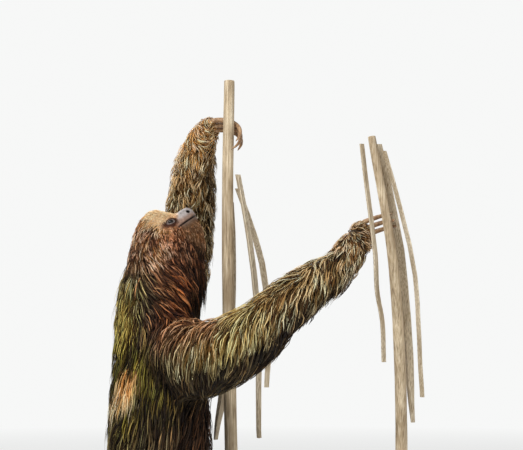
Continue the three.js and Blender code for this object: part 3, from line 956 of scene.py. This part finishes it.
# %% Colours of the head
def head_colour(p, mottle):
    local, reach = to_head(p), eye_reach(p)
    x, _, z = local.T
    patchy = mottle - 0.5
    crown = mix_rows(CROWN, (UMBER, 0.35 * mottle)) * mix(3.6, 0.7, ramp(-36, -60, x))[:, None]
    curls = ramp(0.47, 0.57, cloud(p, 5.5 * MM, 47)) * ramp(-5, -18, x) * ramp(-14, 0, z)
    below_eye = ramp(7, 0, z + 0.35 * x)
    ring_edge = mix(2.6, 3.1, below_eye)
    muzzle = mix_rows(MUZZLE_SIDE, (MUZZLE_TOP, ramp(-5, 3, z + 0.45 * x + 3 * patchy) * ramp(1, 9, x)),
                      (LIP, ramp(-0.3, -1.2, z - mouth_height(x))))
    cheek = mix_rows(CHEEK, (RUST, 0.7 * mottle)) * (1 - 0.66 * ramp(-12, -28, z))[:, None]
    return mix_rows(cheek, (crown, ramp(-14, -40, x) * ramp(-26, -8, z) * 0.75),
                    (THROAT, ramp(-26, -50, z) * ramp(-30, 0, x + 0.5 * z + 24)),
                    (TAN, ramp(-12, 2, z) * ramp(-36, -12, x + 12 * patchy)),
                    (CREAM, ramp(-2, 9, z) * ramp(-32, -10, x + 14 * patchy)),
                    (0.35 * RUST, 0.85 * curls), (CHIN, chin_share(local)),
                    (0.5 * RUST, ramp(*EYE_RING, reach) * mix(0.3, 0.9, below_eye)),
                    (RING, ramp(ring_edge, ring_edge - 0.8, reach) * 0.9),
                    (muzzle, muzzle_share(local) * near_head(local)))


print("head ready")


# %% Colours of every place
def coat_colour(p, n, share):
    """The colour of the lit hair at places p with normals n; share is each part's share."""
    rough, fine = cloud(p, 30 * MM, 31), cloud(p, 9 * MM, 37)
    mottle = 0.6 * rough + 0.4 * fine
    # Painted shade: umber darkens the legs' undersides.
    leg = mix_rows(OLIVE, (ASH, mottle), (UMBER, ramp(-0.1, -0.8, n[:, 2]) * 0.6))
    hand = mix_rows(HAY, (TAN, 0.5 * mottle))
    colours = {"trunk": trunk_colour(p, n, rough, mottle), "neck": neck_colour(p, n, fine),
               "tail": mix_rows(ASH, (OLIVE, mottle)), **dict.fromkeys(HEAD_FLESH, head_colour(p, mottle)),
               "hand_right": 0.35 * hand, "hand_left": 1.1 * hand}
    for side, arm in zip(SIDES, (right_arm_colour(p, n, rough, mottle), left_arm_colour(p, n, mottle))):
        colours[f"upper_arm_{side}"] = colours[f"forearm_{side}"] = arm
        colours[f"thigh_{side}"] = colours[f"shin_{side}"] = leg
        colours[f"foot_{side}"] = mix_rows(HAY, (UMBER, 0.5 * mottle))
    total = sum(share[:, [number]] * colours[node] for number, node in enumerate(FLESH))
    return total * (0.78 + 0.44 * fine)[:, None]


print("colours ready")

# %% [markdown]
# ## The skin's finish
# Under the coat the skin only shows as darkness between the locks, so it takes the coat's colour
# much darkened as painted shade. On the muzzle it is bare: light grey above and brown at the sides,
# leathery and finely pored, painted black as shade in the nostrils, and dark in the mouth's line.
# The lids are grey too. The colours are stored on the mesh, and the material adds pores, creases and gloss.

# %% Paint the skin
LID_GREY, NOSTRIL_SHADE, LIP_DARK = srgb(150, 138, 132), srgb(5, 4, 4), srgb(22, 15, 13)
UNDER_COAT_SHADE, BRIGHTEST = 0.12, 0.8


def store_colour(mesh, name, colour):
    rgba = np.concatenate([colour, np.ones((len(colour), 1))], axis=1)
    write(mesh.color_attributes.new(name, "FLOAT_COLOR", "POINT").data, "color", rgba)


x, _, z = to_head(places).T
reach = eye_reach(places)
hair = hair_share(places)
# Painted shade: where hair grows, the skin takes the coat's colour much darkened.
tint = coat_colour(places, body_normals, shares) * mix(1.0, mix(UNDER_COAT_SHADE, 0.8, calm), hair)[:, None]
tint *= np.minimum(1, BRIGHTEST / tint.max(axis=1, keepdims=True))
ring_shade = bump(1.62, 0.2, reach) * 0.7 + ramp(1.1, 0.95, reach) * 0.8
mouth_shade = bump(0, 1.4, z - mouth_height(x)) * ramp(-2, 3, x)
# Painted shade: the nostrils are painted black inside.
face = mix_rows(tint, (LID_GREY, ramp(*GREY_LID, reach)), (RING * 0.6, ring_shade),
                (NOSTRIL_SHADE, in_nostril), (LIP_DARK, mouth_shade))
store_colour(skin.data, "tint", np.where(head_share[:, None] > 0.5, face, tint))
write(skin.data.attributes.new("bare", "FLOAT", "POINT").data, "value", 1 - hair)

r = recipe("sloth_skin")
blotch = r.ramp(r.noise((1, 1, 1), 260, 4), (0.35, (0.72, 0.70, 0.70)), (0.7, (1.18, 1.15, 1.15)))
pores = r.add("TexVoronoi", Vector=r.where(), Scale=900)["Distance"]
pitted = r.relief(pores, 0.25 * MM, 0.7)
creased = r.relief(r.noise((1, 1, 2.2), 420, 5), 0.35 * MM, 0.8, Normal=pitted)
sloth_skin = r.surface(Base_Color=r.multiply(r.attribute("tint"), blotch), Normal=creased,
                       Roughness=r.remap(r.attribute("bare", "Fac"), 0.8, 0.5), Specular_IOR_Level=0.28)
finish_piece(skin, sloth_skin, FLESH)

# %% [markdown]
# ## Growing the coat
# Real hair is far too fine to model strand by strand, so a tuft stands for a small lock: a slim,
# flattened, pointed solid with a triangular section, bent in a few steps. Hair particles would do
# this quickly but leave no mesh behind. Each tuft is worked out here: it leaves the skin at a low
# angle, then at each step it moves along the combed direction, sags a little with gravity, and is
# held at its own height over the skin, so that the tips lie where the CAD solids end.

# %% Roots spread over the skin
skin.data.calc_loop_triangles()
corners = read(skin.data.loop_triangles, "vertices", 3, np.int32)


def scatter_roots():
    """Root places as a triangle number and three corner weights, thinned by the hair share."""
    a, b, c = (places[corners[:, k]] for k in range(3))
    area_cm2 = lengths(np.cross(b - a, c - a)) / 2 * 1e4
    wanted = coat["per_cm2"][corners].mean(axis=1) * hair[corners].mean(axis=1) * area_cm2
    count = np.floor(wanted + rng.random(len(wanted))).astype(int)
    triangle = np.repeat(np.arange(len(count)), count)
    u, v = rng.random(len(triangle)), rng.random(len(triangle))
    fold = u + v > 1
    u, v = np.where(fold, 1 - u, u), np.where(fold, 1 - v, v)
    return triangle, np.stack([1 - u - v, u, v], axis=1)


def at_roots(values):
    """A value stored on the skin's vertices, read at every root."""
    return np.einsum("tk,tk...->t...", weights, values[corners[triangle]])


triangle, weights = scatter_roots()
root = at_roots(places)
root_normal = unit(at_roots(vertex_normals(skin.data)))
root_share = at_roots(shares)
root_calm = at_roots(calm)
tuft = {name: at_roots(values) for name, values in coat.items()}
print("tufts:", len(root))

# %% [markdown]
# Tufts that stand together end together: damp or dirty hair clings into pointed locks with dark
# gaps between them. One root in a few leads a lock, every other root follows its nearest leader, and
# its tip is drawn towards the leader's. Hairs on top of the coat, the guard hairs, are longer and
# thicker than the rest, and a few stray hairs are long and thin.

# %% Locks and their leaders
LOCK_SIZE = 5
GUARD_LAYERS, STRAY_SHARE = (0.60, 0.78), 0.035
count = len(root)
leaders = np.sort(rng.choice(count, count // LOCK_SIZE, replace=False))
leader_tree = KDTree(len(leaders))
for number, index in enumerate(leaders):
    leader_tree.insert(root[index], number)
leader_tree.balance()
lock = np.array([leader_tree.find(Vector(p))[1] for p in root])
lock_random = rng.random((len(leaders), 6))
own_random = rng.random((count, 6))
shared = lock_random[lock]
layer = 0.5 * shared[:, 1] + 0.5 * own_random[:, 1]  # 0 deep in the coat, 1 on top of it
guard = ramp(*GUARD_LAYERS, layer)
stray = (own_random[:, 5] > 1 - STRAY_SHARE).astype(float)
print("locks:", len(leaders), "stray hairs:", int(stray.sum()))

# %% Bend every tuft over the skin
SINK, LEAST_HEIGHT = 1.0 * MM, 0.15 * MM
UNDER_HAIR_RISE = (0.40, 0.72, 0.92, 1.0)  # the share of its height that a tuft has at each bend
GUARD_HAIR_RISE = (0.75, 0.95, 1.0, 1.0)
BENDS = len(UNDER_HAIR_RISE)
skin_tree = BVHTree.FromPolygons(places.tolist(), corners.tolist())
tri_normal = unit(body_normals[corners].mean(axis=1))
tri_flow = unit(flow[corners].mean(axis=1))


def grow_tufts():
    """The points along every tuft, as an array of tufts by points by three, and their lengths."""
    spread_of_lengths = 0.55 + 0.45 * shared[:, 0] + 0.3 * own_random[:, 0]
    length = tuft["length"] * (spread_of_lengths + 0.35 * guard + 0.3 * stray) * MM
    top = tuft["depth"] * (1 - tuft["flat"]) * (0.50 + 0.68 * layer + 0.30 * stray) * MM
    frizz = tuft["frizz"][:, None]
    wander = ((own_random[:, 2:5] - 0.5) * 0.75 + (shared[:, 2:5] - 0.5) * 0.55) * frizz
    heading = unit(at_roots(flow) + wander)
    heading = unit(heading + root_normal * (tuft["lift"] * 1.6)[:, None])
    points = [root - root_normal * SINK]
    here = root.copy()
    under = ramp(0.1, -0.7, root_normal[:, 2])
    for rise, guard_rise in zip(UNDER_HAIR_RISE, GUARD_HAIR_RISE):
        here = here + heading * (length / BENDS)[:, None]
        hits = [skin_tree.find_nearest(Vector(p)) for p in here]
        foot = np.array([hit[0] for hit in hits])
        index = np.array([hit[2] for hit in hits])
        normal = tri_normal[index]
        height = np.sum((here - foot) * normal, axis=1)
        wanted = top * mix(rise, guard_rise, guard) * (1 + 0.25 * under)
        held = np.clip(mix(height, wanted, 0.75), LEAST_HEIGHT, top * 1.35)
        here = foot + normal * held[:, None]
        points.append(here)
        twist = (rng.random((count, 3)) - 0.5) * 0.28 * frizz
        heading = unit(0.45 * heading + 0.75 * tri_flow[index] + 0.20 * DOWN + 0.12 * wander + twist)
    return np.stack(points, axis=1), length


points, tuft_length = grow_tufts()
print("tuft lengths, mm:", (tuft_length.min() / MM).round(1), "to", (tuft_length.max() / MM).round(1))

# %% Draw the locks together and add the curl
LEADER_NEAR = (14 * MM, 5 * MM)
along = np.linspace(0, 1, BENDS + 1)
offset = points[leaders][lock] - points
near_leader = ramp(*LEADER_NEAR, lengths(offset[:, -1]))
pull = (tuft["clump"] * near_leader)[:, None] * along[None, :] ** 1.3
points = points + offset * pull[:, :, None]
sideways = unit(np.cross(unit(points[:, -1] - points[:, 0]), root_normal))
phase = 2 * np.pi * (shared[:, [5]] + 0.35 * own_random[:, [5]])
wave = np.sin(phase + 1.5 * np.pi * along[None, :] * (0.5 + own_random[:, [2]])) - np.sin(phase)
sway = wave * (tuft["curl"][:, None] * MM * 0.8) * along[None, :] ** 0.7
points = points + sideways[:, None, :] * sway[:, :, None]
print("curl added, mm up to:", (np.abs(sway).max() / MM).round(1))

# %% [markdown]
# ## From lines to solid tufts
# A tuft's section is a flat triangle, wide across the coat and thin away from it. It is widest
# halfway along and ends in a point. Roots are dark, as dirt and shade gather there, and tips are
# bleached. Every tuft also has a patch on a map called OFBake, at its root's place on the part's
# own unwrap, so that colours can be baked for other programs.

# %% Sections of the tufts
WIDTH_PROFILE = np.array((0.65, 0.95, 1.0, 0.78))
THICK_SHARE = 0.42


def tuft_sections(points, width):
    """Three corners at each bend and one tip for every tuft."""
    ahead = unit(np.concatenate([points[:, 1:2] - points[:, 0:1], points[:, 2:] - points[:, :-2]], axis=1))
    across = unit(np.cross(ahead, root_normal[:, None, :]))
    above = np.cross(across, ahead)
    half = width[:, None] * WIDTH_PROFILE[None, :] / 2
    rings = points[:, :BENDS]
    side_step = across * half[:, :, None]
    ridge = rings + above * (half * 2 * THICK_SHARE)[:, :, None]
    ringed = np.stack([rings - side_step, rings + side_step, ridge], axis=2)
    return np.concatenate([ringed.reshape(len(points), BENDS * 3, 3), points[:, -1:]], axis=1)


def tuft_template():
    """The triangles of one tuft, and where each of their corners lies across its patch."""
    faces, across = [(0, 1, 2)], [(0, 1, 2)]
    for ring in range(BENDS):
        for k in range(3):
            a, b = 3 * ring + k, 3 * ring + (k + 1) % 3
            if ring < BENDS - 1:
                faces += [(a, a + 3, b + 3), (a, b + 3, b)]
                across += [(k, k, k + 1), (k, k + 1, k + 1)]
            else:
                faces.append((a, 3 * BENDS, b))
                across.append((k, k + 0.5, k + 1))
    return np.array(faces), np.array(across) / 3


tuft_faces, tuft_across = tuft_template()
tuft_along = np.append(np.repeat(np.arange(BENDS) / BENDS, 3), 1.0)
tuft_girth = (0.65 + 0.5 * own_random[:, 3] + 0.45 * guard) * (1 - 0.4 * stray)
corner_points = tuft_sections(points, tuft["width"] * MM * tuft_girth)
print("corners for each tuft:", corner_points.shape[1], "triangles:", len(tuft_faces))

# %% Colours of the tufts
DARKENING = np.array((0.0, 0.26, 0.80))  # dark hair keeps its red and loses most of its blue
MOST_GREEN, MOST_BLUE = 0.93, 0.68  # of the red and of the green, so that no hair looks bluish
BLEACHED_SHARE = 0.07
ROOT_TO_TIP = (0, 0.3, 0.6, 1.0), (0.22, 0.75, 1.05, 1.3)  # places along a tuft, and their brightness
tone = 0.28 * shared[:, 3] + 0.72 * own_random[:, 4]
# Painted shade: tufts deep in the coat fall to 0.3 of the brightness of those on top, and the spread of
# tone is the hair's own.
shaggy_tone_and_shade = 0.042 * 150 ** tone * mix(0.30, 1.1, ramp(0.35, 0.75, layer))
brightness = mix(shaggy_tone_and_shade, 0.8 + 0.4 * tone, root_calm)
bleached = (own_random[:, 5] > 1 - BLEACHED_SHARE) & (layer > 0.4)
brightness = np.where(bleached, brightness * 1.5, brightness)
gradient = np.interp(tuft_along, *ROOT_TO_TIP)
fading = mix(gradient[None, :], 1.0, 0.9 * root_calm[:, None])
shade = (brightness[:, None] * fading)[:, :, None]
warmth = 0.34 * (shared[:, 4] - 0.5) * (1 - 0.6 * root_calm)
lit = coat_colour(root, unit(at_roots(body_normals)), root_share)
lit = lit * np.stack([1 + warmth, np.ones(count), 1 - warmth], axis=1)
tuft_colour = lit[:, None, :] * shade * np.minimum(shade, 1.3) ** DARKENING
for k, most in ((1, MOST_GREEN), (2, MOST_BLUE)):
    tuft_colour[:, :, k] = np.minimum(tuft_colour[:, :, k], most * tuft_colour[:, :, k - 1])
most_bright = mix(0.85, 0.98, root_calm)[:, None, None]
tuft_colour *= np.minimum(1, most_bright / tuft_colour.max(axis=2, keepdims=True))
print("mean colour of the tufts:", tuft_colour.mean(axis=(0, 1)).round(3))


# %% The coat's finish
def coat_material(name):
    """Hair: colour from the tufts, streaked by fine noise, with a soft sheen at grazing angles."""
    r = recipe(name)
    streak = r.noise((1, 1, 0.35), 900, 3)
    streaks = r.ramp(streak, (0.30, (0.70, 0.68, 0.66)), (0.72, (1.25, 1.24, 1.22)))
    return r.surface(Base_Color=r.multiply(r.attribute("tint"), streaks), Roughness=0.62,
                     Specular_IOR_Level=0.18, Sheen_Weight=0.03, Sheen_Roughness=0.5,
                     Normal=r.relief(streak, 0.15 * MM, 0.5))


FINISHES = {name: coat_material(name) for name in ("coat", "face_coat", "throat_coat")}
print("hair finishes:", sorted(FINISHES))

# %% Pieces with a bake map
PATCH = 0.003
MOST_TUFTS = 9000


def unwrap_roots(roots):
    """Each root's place when the part's skin is rolled out flat around the part's long axis."""
    centre = roots.mean(axis=0)
    _, _, axes = np.linalg.svd(roots - centre, full_matrices=False)
    spun = (roots - centre) @ axes.T
    turn = (np.arctan2(spun[:, 2], spun[:, 1]) / (2 * np.pi)) % 1.0
    run = (spun[:, 0] - spun[:, 0].min()) / max(np.ptp(spun[:, 0]), 1e-6)
    return np.stack([turn, run], axis=1) * (1 - 4 * PATCH) + 2 * PATCH


def coat_piece(name, chosen, slot):
    """One mesh that holds the chosen tufts."""
    starts = np.arange(len(chosen)) * corner_points.shape[1]
    faces = (tuft_faces[None] + starts[:, None, None]).reshape(-1, 3)
    obj = new_mesh(name, corner_points[chosen].reshape(-1, 3), faces)
    store_colour(obj.data, "tint", tuft_colour[chosen].reshape(-1, 3))
    patch = np.stack([tuft_across - 0.5, tuft_along[tuft_faces] - 0.5], axis=2) * PATCH
    spots = unwrap_roots(root[chosen])[:, None, None, :] + patch[None]
    write(obj.data.uv_layers.new(name="OFBake").data, "uv", spots)
    write(obj.data.polygons, "use_smooth", np.ones(len(faces)), bool)
    finish_piece(obj, FINISHES[slot])


print("most tufts in a piece:", MOST_TUFTS)

# %% Sort the tufts into pieces
limbs = [node for node in FLESH if node.endswith(SIDES)]
groups = {"head": ("head", "nose"), **{node: (node,) for node in ("jaw", "neck", "trunk", "tail", *limbs)}}
SLOTS = {"head": "face_coat", "jaw": "throat_coat"}
main_part = root_share.argmax(axis=1)
for group, members in groups.items():
    chosen = np.flatnonzero(np.isin(main_part, [FLESH.index(m) for m in members]))
    chosen = chosen[np.argsort(root[chosen, 2], kind="stable")]
    pieces = max(1, math.ceil(len(chosen) / MOST_TUFTS))
    for k, chunk in enumerate(np.array_split(chosen, pieces)):
        name = f"coat_{group}" if pieces == 1 else f"coat_{group}_{k + 1}"
        coat_piece(name, chunk, SLOTS.get(group, "coat"))

# %% [markdown]
# ## Eyes
# A sloth's eye is a small wet ball, so dark that the pupil hardly parts from the iris, with a clear
# bulging cornea that catches the sky. A sphere of many faces is added at the ball's real size, its
# front is drawn out into the cornea, and the material paints iris and pupil round the gaze.

# %% Eye finish
def eye_material(side):
    r = recipe(f"eyeball_{side}")
    turn = Matrix(eye_axes(side)).transposed().to_euler()
    where = r.add("Mapping", r.add("TexCoord")["Object"], vector_type="TEXTURE",
                  Location=tuple(eye_centres[side]), Rotation=turn)[0]
    split = r.add("SeparateXYZ", where)
    from_gaze = r.length(r.add("CombineXYZ", split["X"], split["Y"])[0])
    ring = r.add("MapRange", from_gaze, From_Max=EYE_RADIUS * MM)[0]
    colour = r.ramp(ring, (0.0, srgb(6, 5, 5)), (0.22, srgb(8, 6, 5)), (0.30, srgb(28, 17, 11)),
                    (0.52, srgb(16, 10, 8)), (0.60, srgb(12, 8, 7)), (0.68, srgb(44, 34, 30)))
    fibres = r.ramp(r.noise(where, 1400, 2), (0.3, (0.6, 0.6, 0.6)), (0.7, (1.3, 1.3, 1.3)))
    return r.surface(Base_Color=r.multiply(colour, fibres), Roughness=0.07, IOR=1.38,
                     Specular_IOR_Level=0.4)


print("eye finish ready")

# %% Eyeballs
CORNEA = 0.7 * MM
for side in SIDES:
    gaze = eye_axes(side)[2]
    use_only()
    bpy.ops.mesh.primitive_uv_sphere_add(segments=48, ring_count=24, radius=EYE_RADIUS * MM,
                                         location=tuple(eye_centres[side]))
    ball = bpy.context.object
    ball.rotation_euler = Vector(gaze).to_track_quat("Z", "Y").to_euler()
    apply_place(ball, f"eyeball_{side}")
    spots = vertex_places(ball.data)
    front = unit(spots - eye_centres[side]) @ gaze
    spots += gaze * (CORNEA * ramp(0.80, 1.0, front))[:, None]
    set_places(ball.data, spots)
    smooth_faces(ball)
    finish_piece(ball, eye_material(side), (f"eye_{side}",))

# %% [markdown]
# ## Claws
# Each hand and foot ends in three long hooked claws of horn. The CAD claws have the true curve and
# size but flat facets, so merged copies of them are rounded by two levels of subdivision. Horn is
# streaked with brown and tan, and has a dull polish.

# %% Claws of horn
CLAW_GROWTH = 0.5 * MM  # what rounding would take off


def fine_copy(node, name, kind, grow=0.0):
    """A merged copy of a CAD node, cut finer by two levels of subdivision."""
    obj = from_nodes(name, (node,), grow)[0]
    apply_modifier(obj, "SUBSURF", subdivision_type=kind, levels=2, render_levels=2)
    return obj


def polished(name, streak, colours, fine, rough, relief, **more):
    """A finish with streaks of colour, and fine noise for its roughness and relief."""
    r = recipe(name)
    colour, fine = r.ramp(r.noise(*streak), *colours), r.noise(*fine)
    return r.surface(Base_Color=colour, Roughness=r.remap(fine, *rough), Normal=r.relief(fine, *relief),
                     **more)


claw_horn = polished(
    "claw_horn", ((1, 1, 1), 240, 5, 0.65),
    ((0.25, srgb(96, 70, 48)), (0.5, srgb(160, 124, 90)), (0.75, srgb(204, 174, 136))),
    ((1.0, 2.6, 1.0), 900, 3), (0.32, 0.55), (0.2 * MM, 0.6), Specular_IOR_Level=0.3)
for node in CLAWS:
    claw = fine_copy(node, f"horn_{node.removeprefix('claw_')}", "CATMULL_CLARK", CLAW_GROWTH)
    smooth_faces(claw)
    finish_piece(claw, claw_horn, (node,))

# %% [markdown]
# ## The dry palm perch
# The animal holds two lengths of dead frond stem, and dry leaflets hang from them. Old palm stems are
# grey-tan, ribbed along their length, with splits and dark mildew. The CAD stems are cut finer and
# ribs are raised by noise that runs with the stem. A leaflet is a thin folded strip that bends a
# little from the straight as it dries, and its fibres show as fine lines.

# %% Stem and leaflet finishes
def fibrous(name, fibres, colours, patches, stain, share, rough, relief):
    """A dry finish with fibres along it and stained patches."""
    r = recipe(name)
    fibres = r.noise(*fibres)
    colour = r.multiply(r.ramp(fibres, *colours), r.ramp(r.noise(*patches), *stain), share)
    return r.surface(Base_Color=colour, Roughness=rough, Normal=r.relief(fibres, *relief))


frond_stem = fibrous(
    "frond_stem", ((1, 1, 0.045), 520, 5, 0.6),
    ((0.25, srgb(88, 68, 48)), (0.48, srgb(204, 182, 148)), (0.75, srgb(248, 234, 206))),
    ((1, 1, 0.5), 38, 4), ((0.38, (0.55, 0.50, 0.45)), (0.60, (1.0, 1.0, 1.0))),
    0.8, 0.78, (0.8 * MM, 0.9))
frond_leaflet = fibrous(
    "frond_leaflet", ((1, 1, 0.012), 1500, 3, 0.5),
    ((0.30, srgb(140, 118, 88)), (0.5, srgb(212, 196, 168)), (0.72, srgb(242, 232, 210))),
    ((1, 1, 0.25), 45, 4), ((0.36, (0.58, 0.52, 0.44)), (0.58, (1.0, 1.0, 1.0))),
    0.75, 0.7, (0.3 * MM, 0.8))
print("frond finishes ready")

# %% Stems with ribs
STEM_RIB = 0.55 * MM
for stem in ("climb", "reach"):
    obj = fine_copy(f"perch_stem_{stem}", f"frond_stem_{stem}", "SIMPLE")
    spots = spread(vertex_places(obj.data), edge_ends(obj.data), 2)
    outwards = vertex_normals(obj.data)
    ribs = cloud(spots * np.array((1, 1, 0.06)), 3.2 * MM, 61) - 0.6
    spots += outwards * (ribs * STEM_RIB * ramp(0.9, 0.6, np.abs(outwards[:, 2])))[:, None]
    set_places(obj.data, spots)
    smooth_faces(obj, 40)
    finish_piece(obj, frond_stem, (f"perch_stem_{stem}",))

# %% Leaflets
DRIFT = 5 * MM
for number in range(1, 7):
    obj = fine_copy(f"perch_leaflet_{number}", f"frond_leaflet_{number}", "SIMPLE")
    spots = vertex_places(obj.data)
    free = ramp(spots[:, 2].max(), spots[:, 2].min(), spots[:, 2])
    heights = spots * np.array((0, 0, 1))
    drift = np.stack([cloud(heights, 45 * MM, 70 + number + k) - 0.5 for k in (0, 9)], axis=1)
    spots[:, :2] += drift * (DRIFT * free)[:, None]
    set_places(obj.data, spots)
    smooth_faces(obj, 35)
    finish_piece(obj, frond_leaflet, (f"perch_leaflet_{number}",))

# %% [markdown]
# ## The display stand
# A museum mount holds the cut stems on a plain base. The base is an oval of hardwood with a softened
# edge, made from a many-sided cylinder that is scaled to the CAD base and bevelled. Two steel rods
# come up from it, each with a small collar where it enters the wood.

# %% Stand finishes
stand_wood = polished(
    "stand_wood", ((1.0, 9.0, 9.0), 18, 5, 0.6),
    ((0.30, srgb(58, 38, 26)), (0.52, srgb(92, 62, 42)), (0.72, srgb(120, 84, 56))),
    ((1.0, 30.0, 30.0), 60, 2), (0.34, 0.5), (0.2 * MM, 0.35), Coat_Weight=0.25, Coat_Roughness=0.25)
r = recipe("stand_steel")
brush = r.noise((1, 1, 40), 90, 3)
stand_steel = r.surface(Base_Color=(0.56, 0.57, 0.58, 1), Metallic=1.0,
                        Roughness=r.remap(brush, 0.24, 0.42), Normal=r.relief(brush, 0.05 * MM, 0.5))
print("stand finishes ready")

# %% Base and rods
COLLAR_SHARE, COLLAR_HEIGHT = 1.9, 5 * MM


def cylinder(name, sides, size, place):
    use_only()
    bpy.ops.mesh.primitive_cylinder_add(vertices=sides, radius=0.5, depth=1, location=place)
    obj = bpy.context.object
    obj.scale = size
    apply_place(obj, name)
    return obj


def bevel_and_smooth(obj, width, segments):
    apply_modifier(obj, "BEVEL", width=width, segments=segments, limit_method="ANGLE",
                   angle_limit=math.radians(60))
    smooth_faces(obj, 30)


low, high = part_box("stand_base")
base_top = high.z
base = cylinder("base_oval", 160, high - low, middle("stand_base"))
bevel_and_smooth(base, 5 * MM, 5)
finish_piece(base, stand_wood, ("stand_base",))
for stem in ("climb", "reach"):
    low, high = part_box(f"stand_rod_{stem}")
    width, centre = high.x - low.x, middle(f"stand_rod_{stem}")
    collar_size = (width * COLLAR_SHARE, width * COLLAR_SHARE, COLLAR_HEIGHT)
    collar = cylinder("collar", 48, collar_size, (centre.x, centre.y, base_top + COLLAR_HEIGHT / 2))
    rod = cylinder(f"rod_{stem}", 48, (width, width, high.z - low.z), centre)
    use_only(collar, rod)
    bpy.ops.object.join()
    bevel_and_smooth(rod, 0.9 * MM, 3)
    finish_piece(rod, stand_steel, (f"stand_rod_{stem}",))

# %% [markdown]
# ## Floor
# The floor is a wide pale sheet under the stand. It shows the stand's soft shadow, and far away it
# takes the tone of the world behind it, so that no hard horizon crosses the picture.

# %% Floor
FLOOR_RADIUS = 60.0
NEAR_FLOOR, FAR_FLOOR = 1.2, 3.5
floor_height = cad_bounds[0][2] - 0.05 * MM

r = recipe("pale_floor")
paint = r.add("BsdfPrincipled", Base_Color=(0.80, 0.80, 0.79, 1), Roughness=0.9)[0]
glow = r.add("Emission", BACKDROP, 1.0)[0]
from_stand = r.length(r.add("TexCoord")["Object"])
far = r.add("MapRange", from_stand, From_Min=NEAR_FLOOR, From_Max=FAR_FLOOR)[0]
glowing = r.add("Math", seen_share(r), far, operation="MULTIPLY")[0]
use_only()
bpy.ops.mesh.primitive_circle_add(vertices=128, radius=FLOOR_RADIUS, fill_type="NGON",
                                  location=(0, 0, floor_height))
floor = bpy.context.object
floor.name = "floor"
floor.data.materials.append(r.finish(r.add("MixShader", glowing, paint, glow)[0]))
print("floor at", round(floor_height, 4))
